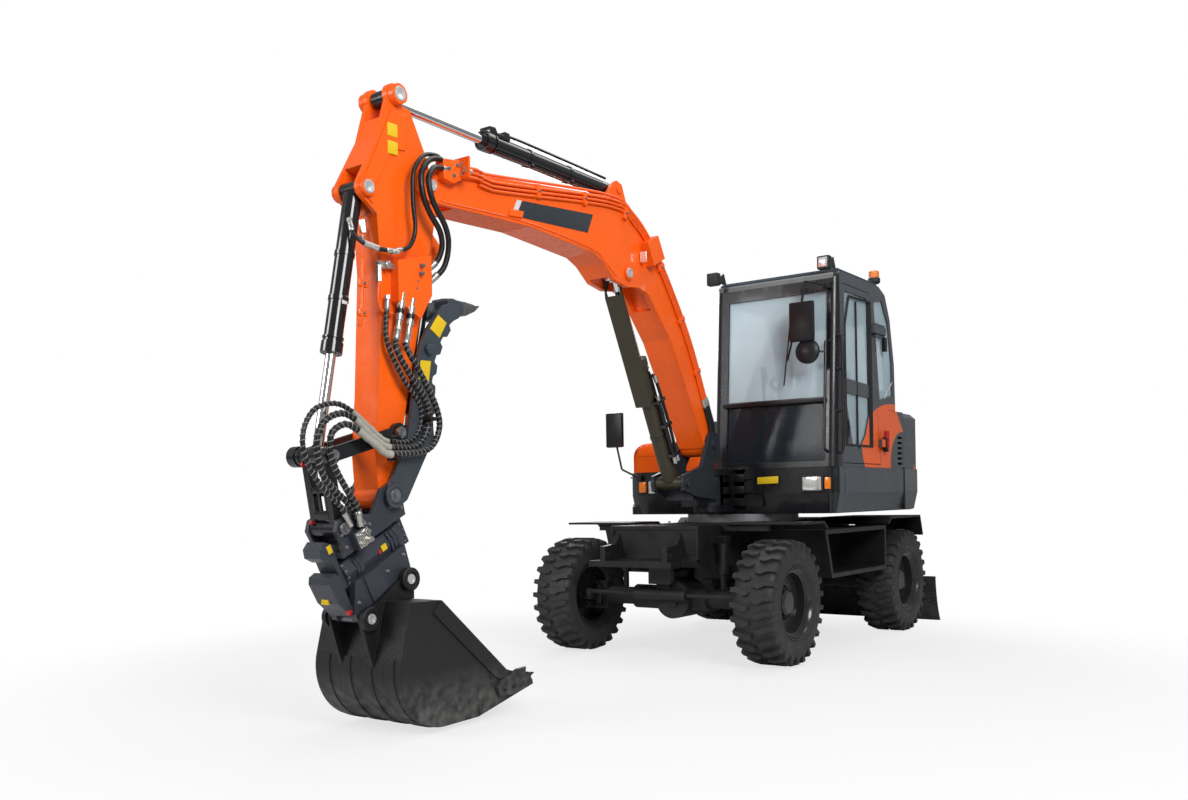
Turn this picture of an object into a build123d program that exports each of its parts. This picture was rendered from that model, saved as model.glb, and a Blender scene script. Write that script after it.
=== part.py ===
from build123d import *
from math import atan2, cos, degrees, hypot, pi, radians, sin, sqrt
import os

os.makedirs("parts", exist_ok=True)

# A rubber-tyred excavator, in millimetres. The working front points to -Y, the cab is on the
# +X side and +Z is up. Everything is laid out from the slewing axis at floor level, and moved
# by ORIGIN_SHIFT when it is written, so that the origin ends up under the middle of the machine.

# ---------------------------------------------------------------- driving dimensions
ORIGIN_SHIFT = 1200

# running gear
WHEELBASE = 2110
TRACK = 1610
TYRE_RADIUS = 415
TYRE_WIDTH = 305
BEAD_RADIUS = 209
RIM_WIDTH = 200
RIM_WALL = 16
HUB_RADIUS = 95
LUGS = 13                          # on each side of the tread
LUG_DEPTH = 26
LUG_WIDTH = 44
LUG_SLANT = 24                     # degrees from square across
KINGPIN_X = TRACK / 2 - 165
AXLE_TUBE_RADIUS = 62
DIFF_RADIUS = 135
STEER_ARM = 175

# undercarriage
FRAME_HALF = 330
FRAME_TOP = 925
FRAME_FRONT = -1300
FRAME_REAR = 1330
FENDER_THICK = 15
FENDER_OUTER = 960
STEP_OUTER = 930
STEP_WALL = 14
SLEW_RADIUS = 430
SLEW_HEIGHT = 60
BLADE_HALF = 960
BLADE_THICK = 16
BLADE_PIVOT = (1300, 430)          # y, z
BLADE_CYL_BASE = (1385, 760)
BLADE_CYL_EYE = (1600, 350)

# upper structure
UPPER_HALF = 925
TAIL_RADIUS = 1650
BODY_FRONT = -335
DECK_THICK = 65
SKIRT_TOP = 1320
SKIRT_WALL = 45
SKIRT_FACET = 1135                 # the skirts lean in below this height
SKIRT_LEAN = 28
HOOD_TOP_RIGHT = 1560
HOOD_ROUND = 110
HOOD_TOP_REAR = 1780
CAB_INNER_X = -70
CAB_OUTER_X = 920
CAB_WALL = 45
CAB_REAR_STEP = 740
GLASS_THICK = 6
DOOR_HINGE = (940, 600)            # x, y
COUNTERWEIGHT_FRONT = TAIL_RADIUS - 585

# working front, seen from the side as (y, z)
KINGPIN_Y = -550
BOOM_FOOT = (-680, 1500)
BOOM_CYL_BASE = (-1060, 1220)
BOOM_CYL_EYE = (-1730, 2575)
ARM_PIVOT = (-3520, 2730)
ARM_CYL_BASE = (-1780, 3110)
ARM_CYL_EYE = (-3740, 3130)
BUCKET_CYL_BASE = (-3940, 2630)
IDLER_PIVOT = (-3770, 1460)
LINK_TOP = (-4190, 1340)
LINK_LOW = (-4130, 1000)
ARM_END = (-3830, 1150)
THUMB_CYL_BASE = (-3440, 2420)
THUMB_CYL_EYE = (-3610, 1480)
BUCKET_PIN_REAR = (-3740, 740)
BUCKET_PIN_FRONT = (-4000, 570)

# half widths across the machine
ARM_HALF = 85
BOOM_HALF = 108
EAR_THICK = 22
BUCKET_HALF = 300
BUCKET_PLATE = 14

# fits
RUN = 0.5                          # running gap at pins and faces that turn
SEAT = 0.3                         # gap where curved faces of one body sit together


# ---------------------------------------------------------------- shapes used throughout
def side_plate(points, x_low, x_high, holes=()):
    """A plate that stands fore-and-aft: points are (y, z), holes are (y, z, radius)."""
    with BuildPart() as plate:
        with BuildSketch(Plane.YZ.offset(x_low)):
            with BuildLine():
                Polyline(*points, close=True)
            make_face()
            for y, z, radius in holes:
                with Locations((y, z)):
                    Circle(radius, mode=Mode.SUBTRACT)
        extrude(amount=x_high - x_low)
    return plate.part


def cross_rod(centre, radius, x_low, x_high, bore=0):
    """A rod or bush across the machine at centre = (y, z)."""
    with BuildPart() as rod:
        with BuildSketch(Plane.YZ.offset(x_low)):
            with Locations(centre):
                Circle(radius)
                if bore:
                    Circle(bore, mode=Mode.SUBTRACT)
        extrude(amount=x_high - x_low)
    return rod.part


def bar(start, end, radius):
    """A round bar between two points in space."""
    run = Vector(*end) - Vector(*start)
    with BuildPart() as rod:
        with BuildSketch(Plane(origin=start, z_dir=run)):
            Circle(radius)
        extrude(amount=run.length)
    return rod.part


def block(x, y, z):
    """A block from its low and high limits along each axis."""
    with BuildPart() as solid:
        with Locations(((x[0] + x[1]) / 2, (y[0] + y[1]) / 2, (z[0] + z[1]) / 2)):
            Box(x[1] - x[0], y[1] - y[0], z[1] - z[0])
    return solid.part


def toward(start, end, distance):
    """The point at a distance from start on the way to end, both (y, z)."""
    length = hypot(end[0] - start[0], end[1] - start[1])
    share = distance / length
    return (start[0] + share * (end[0] - start[0]), start[1] + share * (end[1] - start[1]))


def beside(start, end, distance, offset):
    """As toward, then moved square to that line, to its left seen from the +X side."""
    y, z = toward(start, end, distance)
    length = hypot(end[0] - start[0], end[1] - start[1])
    return (y - offset * (end[1] - start[1]) / length, z + offset * (end[0] - start[0]) / length)


def keep(part, name):
    """Names a finished piece and writes it in the machine's own frame."""
    placed = part.moved(Location((0, ORIGIN_SHIFT, 0)))
    placed.label = name
    export_step(placed, f"parts/{name}.step")


# ---------------------------------------------------------------- wheels
HUB_BACK = -60                     # hub's inner face, from the wheel's middle plane
WHEEL_PLACES = [                   # name, side (+1 left), y
    ("front_left", 1, -WHEELBASE / 2), ("front_right", -1, -WHEELBASE / 2),
    ("rear_left", 1, WHEELBASE / 2), ("rear_right", -1, WHEELBASE / 2),
]

rim_edge = RIM_WIDTH / 2
with BuildPart() as rim:
    with BuildSketch(Plane.XY):
        with BuildLine():
            Polyline(
                (HUB_BACK, 0), (HUB_BACK, HUB_RADIUS + 15), (-8, HUB_RADIUS + 15),
                (-8, BEAD_RADIUS - RIM_WALL), (-rim_edge, BEAD_RADIUS - RIM_WALL + 6),
                (-rim_edge - 8, BEAD_RADIUS + 13), (-rim_edge, BEAD_RADIUS + 13),
                (-rim_edge, BEAD_RADIUS), (rim_edge, BEAD_RADIUS),
                (rim_edge, BEAD_RADIUS + 13), (rim_edge + 8, BEAD_RADIUS + 13),
                (rim_edge, BEAD_RADIUS - RIM_WALL + 6), (6, BEAD_RADIUS - RIM_WALL),
                (6, HUB_RADIUS), (70, HUB_RADIUS - 8), (82, HUB_RADIUS - 25), (82, 0),
                close=True,
            )
        make_face()
    revolve(axis=Axis.X)

tyre_edge = TYRE_WIDTH / 2
tread = TYRE_RADIUS - LUG_DEPTH
with BuildPart() as tyre:
    with BuildSketch(Plane.XY):
        with BuildLine():
            Polyline(
                (-rim_edge + SEAT, BEAD_RADIUS + SEAT), (rim_edge - SEAT, BEAD_RADIUS + SEAT),
                (rim_edge - SEAT, BEAD_RADIUS + 20), (tyre_edge - 4, BEAD_RADIUS + 75), (tyre_edge - 24, tread),
                (-tyre_edge + 24, tread), (-tyre_edge + 4, BEAD_RADIUS + 75), (-rim_edge + SEAT, BEAD_RADIUS + 20),
                close=True,
            )
        make_face()
    revolve(axis=Axis.X)
    reach = tyre_edge / cos(radians(LUG_SLANT))
    for side in (-1, 1):
        across = Vector(side * cos(radians(LUG_SLANT)), sin(radians(LUG_SLANT)), 0)
        with BuildPart(mode=Mode.PRIVATE) as lug:
            with BuildSketch(Plane(origin=(0, 0, 0), x_dir=across, z_dir=across.cross(Vector(0, 0, 1)))):
                with BuildLine():
                    Polyline((2, tread - 12), (5, TYRE_RADIUS), (reach - 40, TYRE_RADIUS - 6),
                             (reach - 38, tread - 12), close=True)
                make_face()
            extrude(amount=LUG_WIDTH / 2, both=True)
        for step in range(LUGS):
            angle = (step + (0.25 if side > 0 else -0.25)) * 360 / LUGS
            add(lug.part.rotate(Axis.X, angle))

for place, side, y in WHEEL_PLACES:
    turn = Location((side * TRACK / 2, y, TYRE_RADIUS), (0, 0, 0 if side > 0 else 180))
    keep(rim.part.moved(turn), f"rim_{place}")
    keep(tyre.part.moved(Location((side * TRACK / 2, y, TYRE_RADIUS))), f"tyre_{place}")

# ---------------------------------------------------------------- axles and steering
FRONT_Y = -WHEELBASE / 2
REAR_Y = WHEELBASE / 2
HUB_Z = TYRE_RADIUS
hub_face = TRACK / 2 + HUB_BACK - RUN
FORK_GAP = 75                      # half height between the kingpin fork's prongs
FORK_THICK = 26
PIVOT_TOP = 640                    # underside of the chassis over the front axle
PIVOT_Z = PIVOT_TOP - 80           # front axle's oscillation pin
PIN_OSCILLATION = 26

with BuildPart() as front_axle:
    add(cross_rod((FRONT_Y, HUB_Z), AXLE_TUBE_RADIUS, -KINGPIN_X + 95, KINGPIN_X - 95))
    add(cross_rod((FRONT_Y, HUB_Z), AXLE_TUBE_RADIUS + 22, -300, 300))
    with BuildSketch(Plane.XZ.offset(-FRONT_Y - 130)):
        with Locations((60, HUB_Z)):
            Circle(DIFF_RADIUS)
    extrude(amount=250)
    with BuildSketch(Plane.XZ.offset(-FRONT_Y + 120)):
        with Locations((60, HUB_Z)):
            RegularPolygon(62, 6)
    extrude(amount=10)
    add(bar((60, FRONT_Y + 130, HUB_Z), (60, FRONT_Y + 220, HUB_Z), 60))
    for side in (-1, 1):
        inner, outer = sorted((side * (KINGPIN_X - 100), side * (KINGPIN_X - 58)))
        add(block((inner, outer), (FRONT_Y - 45, FRONT_Y + 45),
                  (HUB_Z - FORK_GAP - FORK_THICK, HUB_Z + FORK_GAP + FORK_THICK)))
        inner, outer = sorted((side * (KINGPIN_X - 60), side * (KINGPIN_X + 45)))
        for low in (HUB_Z - FORK_GAP - FORK_THICK, HUB_Z + FORK_GAP):
            add(block((inner, outer), (FRONT_Y - 50, FRONT_Y + 50), (low, low + FORK_THICK)))
    # oscillation bracket under the chassis
    add(block((-55, 55), (FRONT_Y - 140, FRONT_Y + 140), (HUB_Z + 60, PIVOT_TOP - 35)))
    add(bar((0, FRONT_Y - 150, PIVOT_Z), (0, FRONT_Y + 150, PIVOT_Z), PIN_OSCILLATION + RUN), mode=Mode.SUBTRACT)
    # steering cylinder in front of the beam
    add(cross_rod((FRONT_Y - STEER_ARM, HUB_Z + 35), 38, -210, 210))
    add(cross_rod((FRONT_Y - STEER_ARM, HUB_Z + 35), 16 + RUN, -220, 220), mode=Mode.SUBTRACT)
    for x in (-185, 185):
        add(block((x - 15, x + 15), (FRONT_Y - STEER_ARM + 30, FRONT_Y - 40), (HUB_Z + 10, HUB_Z + 50)))
keep(front_axle.part, "front_axle")

for name, side in (("left", 1), ("right", -1)):
    with BuildPart() as knuckle:
        with Locations((side * KINGPIN_X, FRONT_Y, HUB_Z)):
            Cylinder(48, 2 * (FORK_GAP - RUN))
        add(bar((side * KINGPIN_X, FRONT_Y, HUB_Z), (side * hub_face, FRONT_Y, HUB_Z), 60))
        with BuildSketch(Plane.XY.offset(HUB_Z - 20)):
            with BuildLine():
                Polyline(*[(side * (KINGPIN_X + x), FRONT_Y + y) for x, y in (
                    (-15, -20), (15, -20), (15, -90), (-8, -STEER_ARM - 22), (-54, -STEER_ARM - 22),
                    (-58, -STEER_ARM + 25), (-15, -95))], close=True)
            make_face()
        extrude(amount=28)
    keep(knuckle.part, f"knuckle_{name}")

with BuildPart() as steer_rod:
    add(cross_rod((FRONT_Y - STEER_ARM, HUB_Z + 35), 16, -KINGPIN_X + 60, KINGPIN_X - 60))
    for side in (-1, 1):
        with Locations((side * (KINGPIN_X - 32), FRONT_Y - STEER_ARM, HUB_Z + 8 + RUN + 24)):
            Cylinder(30, 48)
keep(steer_rod.part, "steer_rod")

with BuildPart() as rear_axle:
    add(cross_rod((REAR_Y, HUB_Z), AXLE_TUBE_RADIUS + 12, -hub_face, hub_face))
    add(cross_rod((REAR_Y, HUB_Z), 100, hub_face - 70, hub_face))
    add(cross_rod((REAR_Y, HUB_Z), 100, -hub_face, -hub_face + 70))
    with BuildSketch(Plane.XZ.offset(-REAR_Y - 120)):
        with Locations((60, HUB_Z)):
            Circle(DIFF_RADIUS)
    extrude(amount=240)
    for side in (-1, 1):
        add(block((side * 260 - 50, side * 260 + 50), (REAR_Y - 70, REAR_Y + 70), (HUB_Z, 560)))
keep(rear_axle.part, "rear_axle")

with BuildPart() as driveline:
    add(block((-110, 200), (700, REAR_Y - 120), (HUB_Z - 120, 545)))
    add(bar((60, FRONT_Y + 220, HUB_Z), (60, 700, HUB_Z), 34))
    for y in (FRONT_Y + 221, 620):
        add(bar((60, y, HUB_Z), (60, y + 80, HUB_Z), 52))
keep(driveline.part, "driveline")

# ---------------------------------------------------------------- chassis
with BuildPart() as chassis:
    add(side_plate([
        (FRAME_FRONT, 700), (FRAME_FRONT, FRAME_TOP), (FRAME_REAR, FRAME_TOP), (FRAME_REAR, 640),
        (REAR_Y + 130, 560), (620, 560), (420, 500), (-420, 500), (-620, PIVOT_TOP), (-1240, PIVOT_TOP),
    ], -FRAME_HALF, FRAME_HALF))
    # oscillation bearing over the front axle
    for y in (FRONT_Y - 185, FRONT_Y + 141):
        add(block((-90, 90), (y, y + 44), (HUB_Z + 105, PIVOT_TOP + 10)))
    add(bar((0, FRONT_Y - 185, PIVOT_Z), (0, FRONT_Y + 185, PIVOT_Z), PIN_OSCILLATION))
    # outriggers that carry the fenders
    for side in (-1, 1):
        inner, outer = sorted((side * (FRAME_HALF - 5), side * 700))
        for y in (-940, -720, 760, 1200):
            add(block((inner, outer), (y - 20, y + 20), (FRAME_TOP - 45, FRAME_TOP)))
        # axle-lock cylinders' upper brackets
        inner, outer = sorted((side * (FRAME_HALF - 5), side * 440))
        add(block((inner, outer), (FRONT_Y - 30, FRONT_Y + 30), (800, 850)))
    # front tow bar
    add(block((-420, 250), (FRAME_FRONT - 190, FRAME_FRONT - 60), (650, 690)))
    for x in (-300, 200):
        add(side_plate([(FRAME_FRONT - 190, 690), (FRAME_FRONT, 690), (FRAME_FRONT, 880), (FRAME_FRONT - 60, 800), (FRAME_FRONT - 190, 790)],
                       x - 20, x + 20, holes=[(FRAME_FRONT - 160, 745, 22)]))
    # front box: a flange round the front plate
    for low, high in ((FRAME_TOP - 25, FRAME_TOP), (700, 720)):
        add(block((-FRAME_HALF - 25, FRAME_HALF + 25), (FRAME_FRONT - 12, FRAME_FRONT + 40), (low, high)))
    for side in (-1, 1):
        low, high = sorted((side * FRAME_HALF, side * (FRAME_HALF + 25)))
        add(block((low, high), (FRAME_FRONT - 12, FRAME_FRONT + 40), (700, FRAME_TOP)))
    # blade pivots and the blade cylinder's upper ears
    for x in (-285, -235, 235, 285):
        add(side_plate([(1190, 575), (1190, 500), (1250, 380), (1340, 380), (1340, 660), (1200, 660)], x - 10, x + 10))
    for x in (-55, 55):
        add(side_plate([(FRAME_REAR - 5, 700), (FRAME_REAR - 5, 830), (1410, 800), (1420, 730), (1390, 715)],
                       x - 10, x + 10))
    # pins of the blade
    for side in (-1, 1):
        add(cross_rod(BLADE_PIVOT, 22, side * 260 - 30, side * 260 + 30))
    add(cross_rod(BLADE_CYL_BASE, 16, -60, 60))
keep(chassis.part, "chassis_frame")

with BuildPart() as lock_cylinders:
    for side in (-1, 1):
        add(bar((side * 400, FRONT_Y, 800), (side * 400, FRONT_Y, 590), 36))
        add(bar((side * 400, FRONT_Y, 590), (side * 400, FRONT_Y, HUB_Z + AXLE_TUBE_RADIUS + 1), 20))
keep(lock_cylinders.part, "lock_cylinders")

with BuildPart() as fenders:
    for side in (-1, 1):
        low, high = sorted((side * 380, side * FENDER_OUTER))
        for points in (
            [(-1000, 0), (-640, 0), (-580, -45), (-570, -33), (-632, FENDER_THICK), (-1000, FENDER_THICK)],
            [(590, -45), (655, 0), (1310, 0), (1372, -155), (1386, -150), (1322, FENDER_THICK),
             (650, FENDER_THICK), (582, -33)],
        ):
            add(side_plate([(y, FRAME_TOP + z) for y, z in points], low, high))
keep(fenders.part, "fenders")

with BuildPart() as side_steps:
    for side in (-1, 1):
        low, high = sorted((side * FRAME_HALF, side * STEP_OUTER))
        add(side_plate([(-560, 875), (-450, 535), (605, 535), (605, 875)], low, high))
        low, high = sorted((side * 560, side * STEP_OUTER))
        add(side_plate([(-515, 845), (-425, 565), (575, 565), (575, 845)], low, high), mode=Mode.SUBTRACT)
keep(side_steps.part, "side_steps")

with BuildPart() as slew_ring:
    with BuildSketch(Plane.XY.offset(FRAME_TOP)):
        Circle(SLEW_RADIUS)
        Circle(SLEW_RADIUS - 110, mode=Mode.SUBTRACT)
    extrude(amount=SLEW_HEIGHT)
keep(slew_ring.part, "slew_ring")

# ---------------------------------------------------------------- dozer blade
with BuildPart() as blade:
    with BuildSketch(Plane.YZ.offset(-BLADE_HALF)):
        with BuildLine():
            ThreePointArc((1690, 400), (1722, 200), (1800, 12))
            Line((1800, 12), (1784, 12))
            ThreePointArc((1784, 12), (1706, 200), (1672, 400))
            Line((1672, 400), (1690, 400))
        make_face()
    extrude(amount=2 * BLADE_HALF)
    for side in (-1, 1):
        with BuildSketch(Plane.YZ.offset(side * 260 - 14.5)):
            with BuildLine():
                Polyline((1300, 385), (1480, 250), (1715, 150), (1700, 300), (1560, 400), (1300, 475), close=True)
            make_face()
            with Locations(BLADE_PIVOT):
                Circle(45)
                Circle(22 + RUN, mode=Mode.SUBTRACT)
        extrude(amount=29)
    for x in (-52, 52):
        add(side_plate([(1570, 330), (1600, 310), (1712, 250), (1690, 360), (1600, 385), (1570, 375)], x - 9, x + 9))
keep(blade.part, "blade")


# ---------------------------------------------------------------- hydraulic cylinders
def ram(base, eye, gland, retract, barrel_radius, rod_radius, pin_radius, base_half, eye_half):
    """A cylinder from its base pin to its rod's eye, as (barrel, rod).

    gland is the barrel's length from the base pin, retract how far the rod can still go in.
    """
    length = hypot(eye[0] - base[0], eye[1] - base[1])
    plane = Plane(origin=(0, *base), x_dir=(1, 0, 0), z_dir=(0, eye[0] - base[0], eye[1] - base[1]))
    bottom = pin_radius + 30
    with BuildPart() as barrel:
        with BuildSketch(plane.offset(pin_radius)):
            Circle(barrel_radius)
        extrude(amount=gland - pin_radius)
        with BuildSketch(plane.offset(gland - 55)):
            Circle(barrel_radius + 7)
        extrude(amount=55)
        add(cross_rod(base, pin_radius + 16, -base_half, base_half))
        with BuildSketch(plane.offset(bottom)):
            Circle(rod_radius + RUN)
        extrude(amount=gland - bottom + 1, mode=Mode.SUBTRACT)
        add(cross_rod(base, pin_radius + RUN, -base_half - 1, base_half + 1), mode=Mode.SUBTRACT)
    with BuildPart() as rod:
        with BuildSketch(plane.offset(bottom + retract)):
            Circle(rod_radius)
        extrude(amount=length - bottom - retract)
        add(cross_rod(eye, pin_radius + 14, -eye_half, eye_half))
    return barrel.part, rod.part


barrel, rod = ram(BLADE_CYL_BASE, BLADE_CYL_EYE, 280, 165, 36, 18, 16, 44, 42)
keep(barrel, "blade_cyl_barrel")
keep(rod, "blade_cyl_rod")

# ---------------------------------------------------------------- upper structure
DECK_BOTTOM = FRAME_TOP + SLEW_HEIGHT + RUN
DECK_TOP = DECK_BOTTOM + DECK_THICK
LUG_THICK = 45
LUG_RADIUS = 108
UPPER_LUG = SKIRT_TOP - LUG_THICK
KINGPIN_RADIUS = 42


def footprint(inset, tail=TAIL_RADIUS):
    """The upper structure's outline from above: straight sides and a round tail."""
    with BuildSketch() as outline:
        Circle(tail - inset)
        with Locations((0, (BODY_FRONT + inset + tail) / 2)):
            Rectangle(2 * (UPPER_HALF - inset), tail - BODY_FRONT - inset, mode=Mode.INTERSECT)
        fillet(outline.vertices().sort_by(Axis.Y)[:2], 70)
    return outline.sketch


with BuildPart() as skirt_band:
    with BuildSketch(Plane.XY.offset(SKIRT_FACET)):
        add(footprint(0))
    extrude(amount=SKIRT_TOP - SKIRT_FACET)
    with BuildSketch(Plane.XY.offset(SKIRT_FACET)):
        add(footprint(0))
    skirt_drop = SKIRT_FACET - DECK_BOTTOM - 5
    extrude(amount=-skirt_drop, taper=degrees(atan2(SKIRT_LEAN, skirt_drop)))

with BuildPart() as upper_frame:
    with BuildSketch(Plane.XY.offset(DECK_BOTTOM)):
        add(footprint(SKIRT_WALL + SEAT))
    extrude(amount=DECK_THICK)
    for low in (DECK_TOP - LUG_THICK, UPPER_LUG):
        with BuildSketch(Plane.XY.offset(low)):
            with Locations((0, KINGPIN_Y)):
                Circle(LUG_RADIUS)
            with Locations((0, (KINGPIN_Y - 100) / 2)):
                Rectangle(2 * LUG_RADIUS, -100 - KINGPIN_Y)
        extrude(amount=LUG_THICK)
    for side in (-1, 1):
        low, high = sorted((side * (LUG_RADIUS - 22), side * LUG_RADIUS))
        add(side_plate([(-330, DECK_TOP - 5), (-60, DECK_TOP - 5), (-60, SKIRT_TOP), (-400, SKIRT_TOP)],
                       low, high))
    add(bar((0, KINGPIN_Y, DECK_TOP - LUG_THICK - 12), (0, KINGPIN_Y, SKIRT_TOP + 12), KINGPIN_RADIUS))
keep(upper_frame.part, "upper_frame")

FRONT_NOTCH = 200
ENGINE_BAY = 600                   # half width of the bay that the engine stands in
with BuildPart() as base_panels:
    add(skirt_band.part)
    with BuildSketch(Plane.XY.offset(DECK_BOTTOM)):
        add(footprint(SKIRT_WALL))
    extrude(amount=SKIRT_TOP - DECK_BOTTOM + 5, mode=Mode.SUBTRACT)
    add(block((-FRONT_NOTCH, FRONT_NOTCH), (BODY_FRONT - 10, 0), (900, 1400)), mode=Mode.SUBTRACT)
    # grooved boxes beside the swing post
    for side in (-1, 1):
        low, high = sorted((side * FRONT_NOTCH, side * (FRONT_NOTCH + 150)))
        for bottom, top in ((1040, 1130), (1142, 1232), (1244, 1300)):
            add(block((low, high), (BODY_FRONT - 14, BODY_FRONT + 5), (bottom, top)))
    add(block((-UPPER_HALF - 10, UPPER_HALF + 10), (COUNTERWEIGHT_FRONT, TAIL_RADIUS + 10), (900, 1400)),
        mode=Mode.SUBTRACT)
keep(base_panels.part, "base_panels")

with BuildPart() as counterweight:
    add(skirt_band.part)
    add(block((-UPPER_HALF - 10, UPPER_HALF + 10), (BODY_FRONT - 10, COUNTERWEIGHT_FRONT + SEAT), (900, 1400)),
        mode=Mode.SUBTRACT)
    with BuildSketch(Plane.XY.offset(DECK_BOTTOM)):
        add(footprint(SKIRT_WALL))
    extrude(amount=DECK_THICK + SEAT, mode=Mode.SUBTRACT)
    add(block((-ENGINE_BAY, ENGINE_BAY), (COUNTERWEIGHT_FRONT - 10, TAIL_RADIUS - 310), (DECK_TOP, 1400)),
        mode=Mode.SUBTRACT)
keep(counterweight.part, "counterweight")

with BuildPart() as engine:
    with Locations((-60, TAIL_RADIUS - 650, DECK_TOP + 240)):
        Box(760, 420, 480)
keep(engine.part, "engine")

with BuildPart() as right_hood:
    with BuildSketch(Plane.XY.offset(SKIRT_TOP)):
        with BuildLine():
            Polyline((-UPPER_HALF + 8, CAB_REAR_STEP), (-UPPER_HALF + 8, BODY_FRONT + 60),
                     (-UPPER_HALF + 90, BODY_FRONT + 12), (-130, BODY_FRONT + 12), (CAB_INNER_X - 15, BODY_FRONT + 90),
                     (CAB_INNER_X - 15, CAB_REAR_STEP), close=True)
        make_face()
    extrude(amount=HOOD_TOP_RIGHT - SKIRT_TOP)
    # the pressed cover turns over in wide bends along its outer side and its front
    for plane, outer, high in ((Plane.YZ.offset(-UPPER_HALF - 50), BODY_FRONT + 12, CAB_REAR_STEP + 50),
                               (Plane.XZ.offset(-CAB_REAR_STEP - 50), -UPPER_HALF + 8, CAB_INNER_X + 50)):
        with BuildSketch(plane):
            with Locations((outer + HOOD_ROUND, HOOD_TOP_RIGHT - HOOD_ROUND)):
                Circle(HOOD_ROUND)
            with BuildLine():
                Polyline((outer, SKIRT_TOP - 10), (outer, HOOD_TOP_RIGHT - HOOD_ROUND),
                         (outer + HOOD_ROUND, HOOD_TOP_RIGHT - HOOD_ROUND), (outer + HOOD_ROUND, HOOD_TOP_RIGHT),
                         (high, HOOD_TOP_RIGHT), (high, SKIRT_TOP - 10), close=True)
            make_face()
        extrude(amount=3000, mode=Mode.INTERSECT)
keep(right_hood.part, "right_hood")

CAB_TOP = 2730
ROOF_THICK = 30
CAB_REAR_TOP = 885                 # the cab reaches back over the engine bay to here
CAB_FRONT_TOP = -240               # the front frame leans back to here
WINDSCREEN_SIDES = (CAB_INNER_X + 115, CAB_OUTER_X - 80)
WINDSCREEN_PANES = [(SKIRT_TOP + 45, 1785), (1825, 2590)]


def front_line(z):
    """Where the front frame's face stands at a height."""
    return BODY_FRONT + (CAB_FRONT_TOP - BODY_FRONT) * (z - SKIRT_TOP) / (CAB_TOP - 50 - SKIRT_TOP)


CAB_OUTLINE = [
    (BODY_FRONT, SKIRT_TOP), (CAB_FRONT_TOP, CAB_TOP - 50), (CAB_FRONT_TOP + 45, CAB_TOP), (560, CAB_TOP),
    (690, CAB_TOP - 50), (790, 2500), (870, 2150), (CAB_REAR_TOP, HOOD_TOP_REAR), (CAB_REAR_STEP, HOOD_TOP_REAR),
    (CAB_REAR_STEP, SKIRT_TOP),
]
CAB_INSIDE = [
    (BODY_FRONT + CAB_WALL, SKIRT_TOP + 30), (CAB_FRONT_TOP + CAB_WALL, CAB_TOP - 60), (540, CAB_TOP - 45),
    (655, CAB_TOP - 85), (750, 2480), (825, 2150), (840, HOOD_TOP_REAR + 30),
    (CAB_REAR_STEP - 40, HOOD_TOP_REAR + 30), (CAB_REAR_STEP - 40, SKIRT_TOP + 30),
]
DOOR_OUTLINE = [(-195, SKIRT_TOP + 25), (-165, 2650), (340, 2650), (385, 2610), (550, SKIRT_TOP + 25)]
DOOR_PANES = [
    [(-150, 1965), (-125, 2600), (300, 2600), (325, 2570), (395, 1945)],
    [(-140, 1860), (-60, 1640), (0, 1460), (110, 1450), (240, 1560), (390, 1850)],
]
QUARTER_WINDOW = [(445, 2600), (620, 2630), (745, 2470), (820, 2150), (825, 1900), (545, 1850)]
RIGHT_WINDOW = [(-180, 1640), (-120, 2600), (560, 2600), (700, 2450), (790, 2100), (790, 1840), (600, 1640)]
REAR_WINDOW = (1950, 2480)
PILLAR_ROUND = 55
GRAB_RAIL = [(-310, 1420), (-385, 1450), (-330, 2210), (-270, 2230)]       # y, z
with BuildPart() as cab_shell:
    add(side_plate(CAB_OUTLINE, CAB_INNER_X, CAB_OUTER_X))
    pillars = cab_shell.faces().sort_by(Axis.Y)[0].edges().filter_by(Axis.X, reverse=True)
    fillet(pillars, PILLAR_ROUND)
    add(side_plate(CAB_INSIDE, CAB_INNER_X + CAB_WALL, CAB_OUTER_X - CAB_WALL), mode=Mode.SUBTRACT)
    add(side_plate(DOOR_OUTLINE, CAB_OUTER_X - CAB_WALL - 5, CAB_OUTER_X + 5), mode=Mode.SUBTRACT)
    add(side_plate(QUARTER_WINDOW, CAB_OUTER_X - CAB_WALL - 5, CAB_OUTER_X + 5), mode=Mode.SUBTRACT)
    for low, high in WINDSCREEN_PANES:
        add(block(WINDSCREEN_SIDES, (BODY_FRONT - 10, 0), (low, high)), mode=Mode.SUBTRACT)
    add(side_plate(RIGHT_WINDOW, CAB_INNER_X - 5, CAB_INNER_X + CAB_WALL + 5), mode=Mode.SUBTRACT)
    add(block(WINDSCREEN_SIDES, (700, 1100), REAR_WINDOW), mode=Mode.SUBTRACT)
    for z, leaf_front, leaf_rear in ((1480, 590, 660), (2350, 432, 616)):
        for low in (z - 20 - RUN, z + 60 + RUN):
            add(block((CAB_OUTER_X - 5, DOOR_HINGE[0]), (leaf_front, leaf_rear), (low, low + 20)))
        add(bar((*DOOR_HINGE, z - 20), (*DOOR_HINGE, z + 80), 8))
    for (y, z), (next_y, next_z) in zip(GRAB_RAIL, GRAB_RAIL[1:]):
        add(bar((CAB_OUTER_X - 62, y, z), (CAB_OUTER_X - 62, next_y, next_z), 11))
    for y, z in GRAB_RAIL[1:3]:
        with Locations((CAB_OUTER_X - 62, y, z)):
            Sphere(11)
keep(cab_shell.part, "cab_shell")

with BuildPart() as cab_roof:
    add(block((CAB_INNER_X + 12, CAB_OUTER_X - 12), (CAB_FRONT_TOP + 50, 555), (CAB_TOP, CAB_TOP + ROOF_THICK)))
    chamfer(cab_roof.faces().sort_by(Axis.Z)[-1].edges(), 18)
keep(cab_roof.part, "cab_roof")

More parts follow.
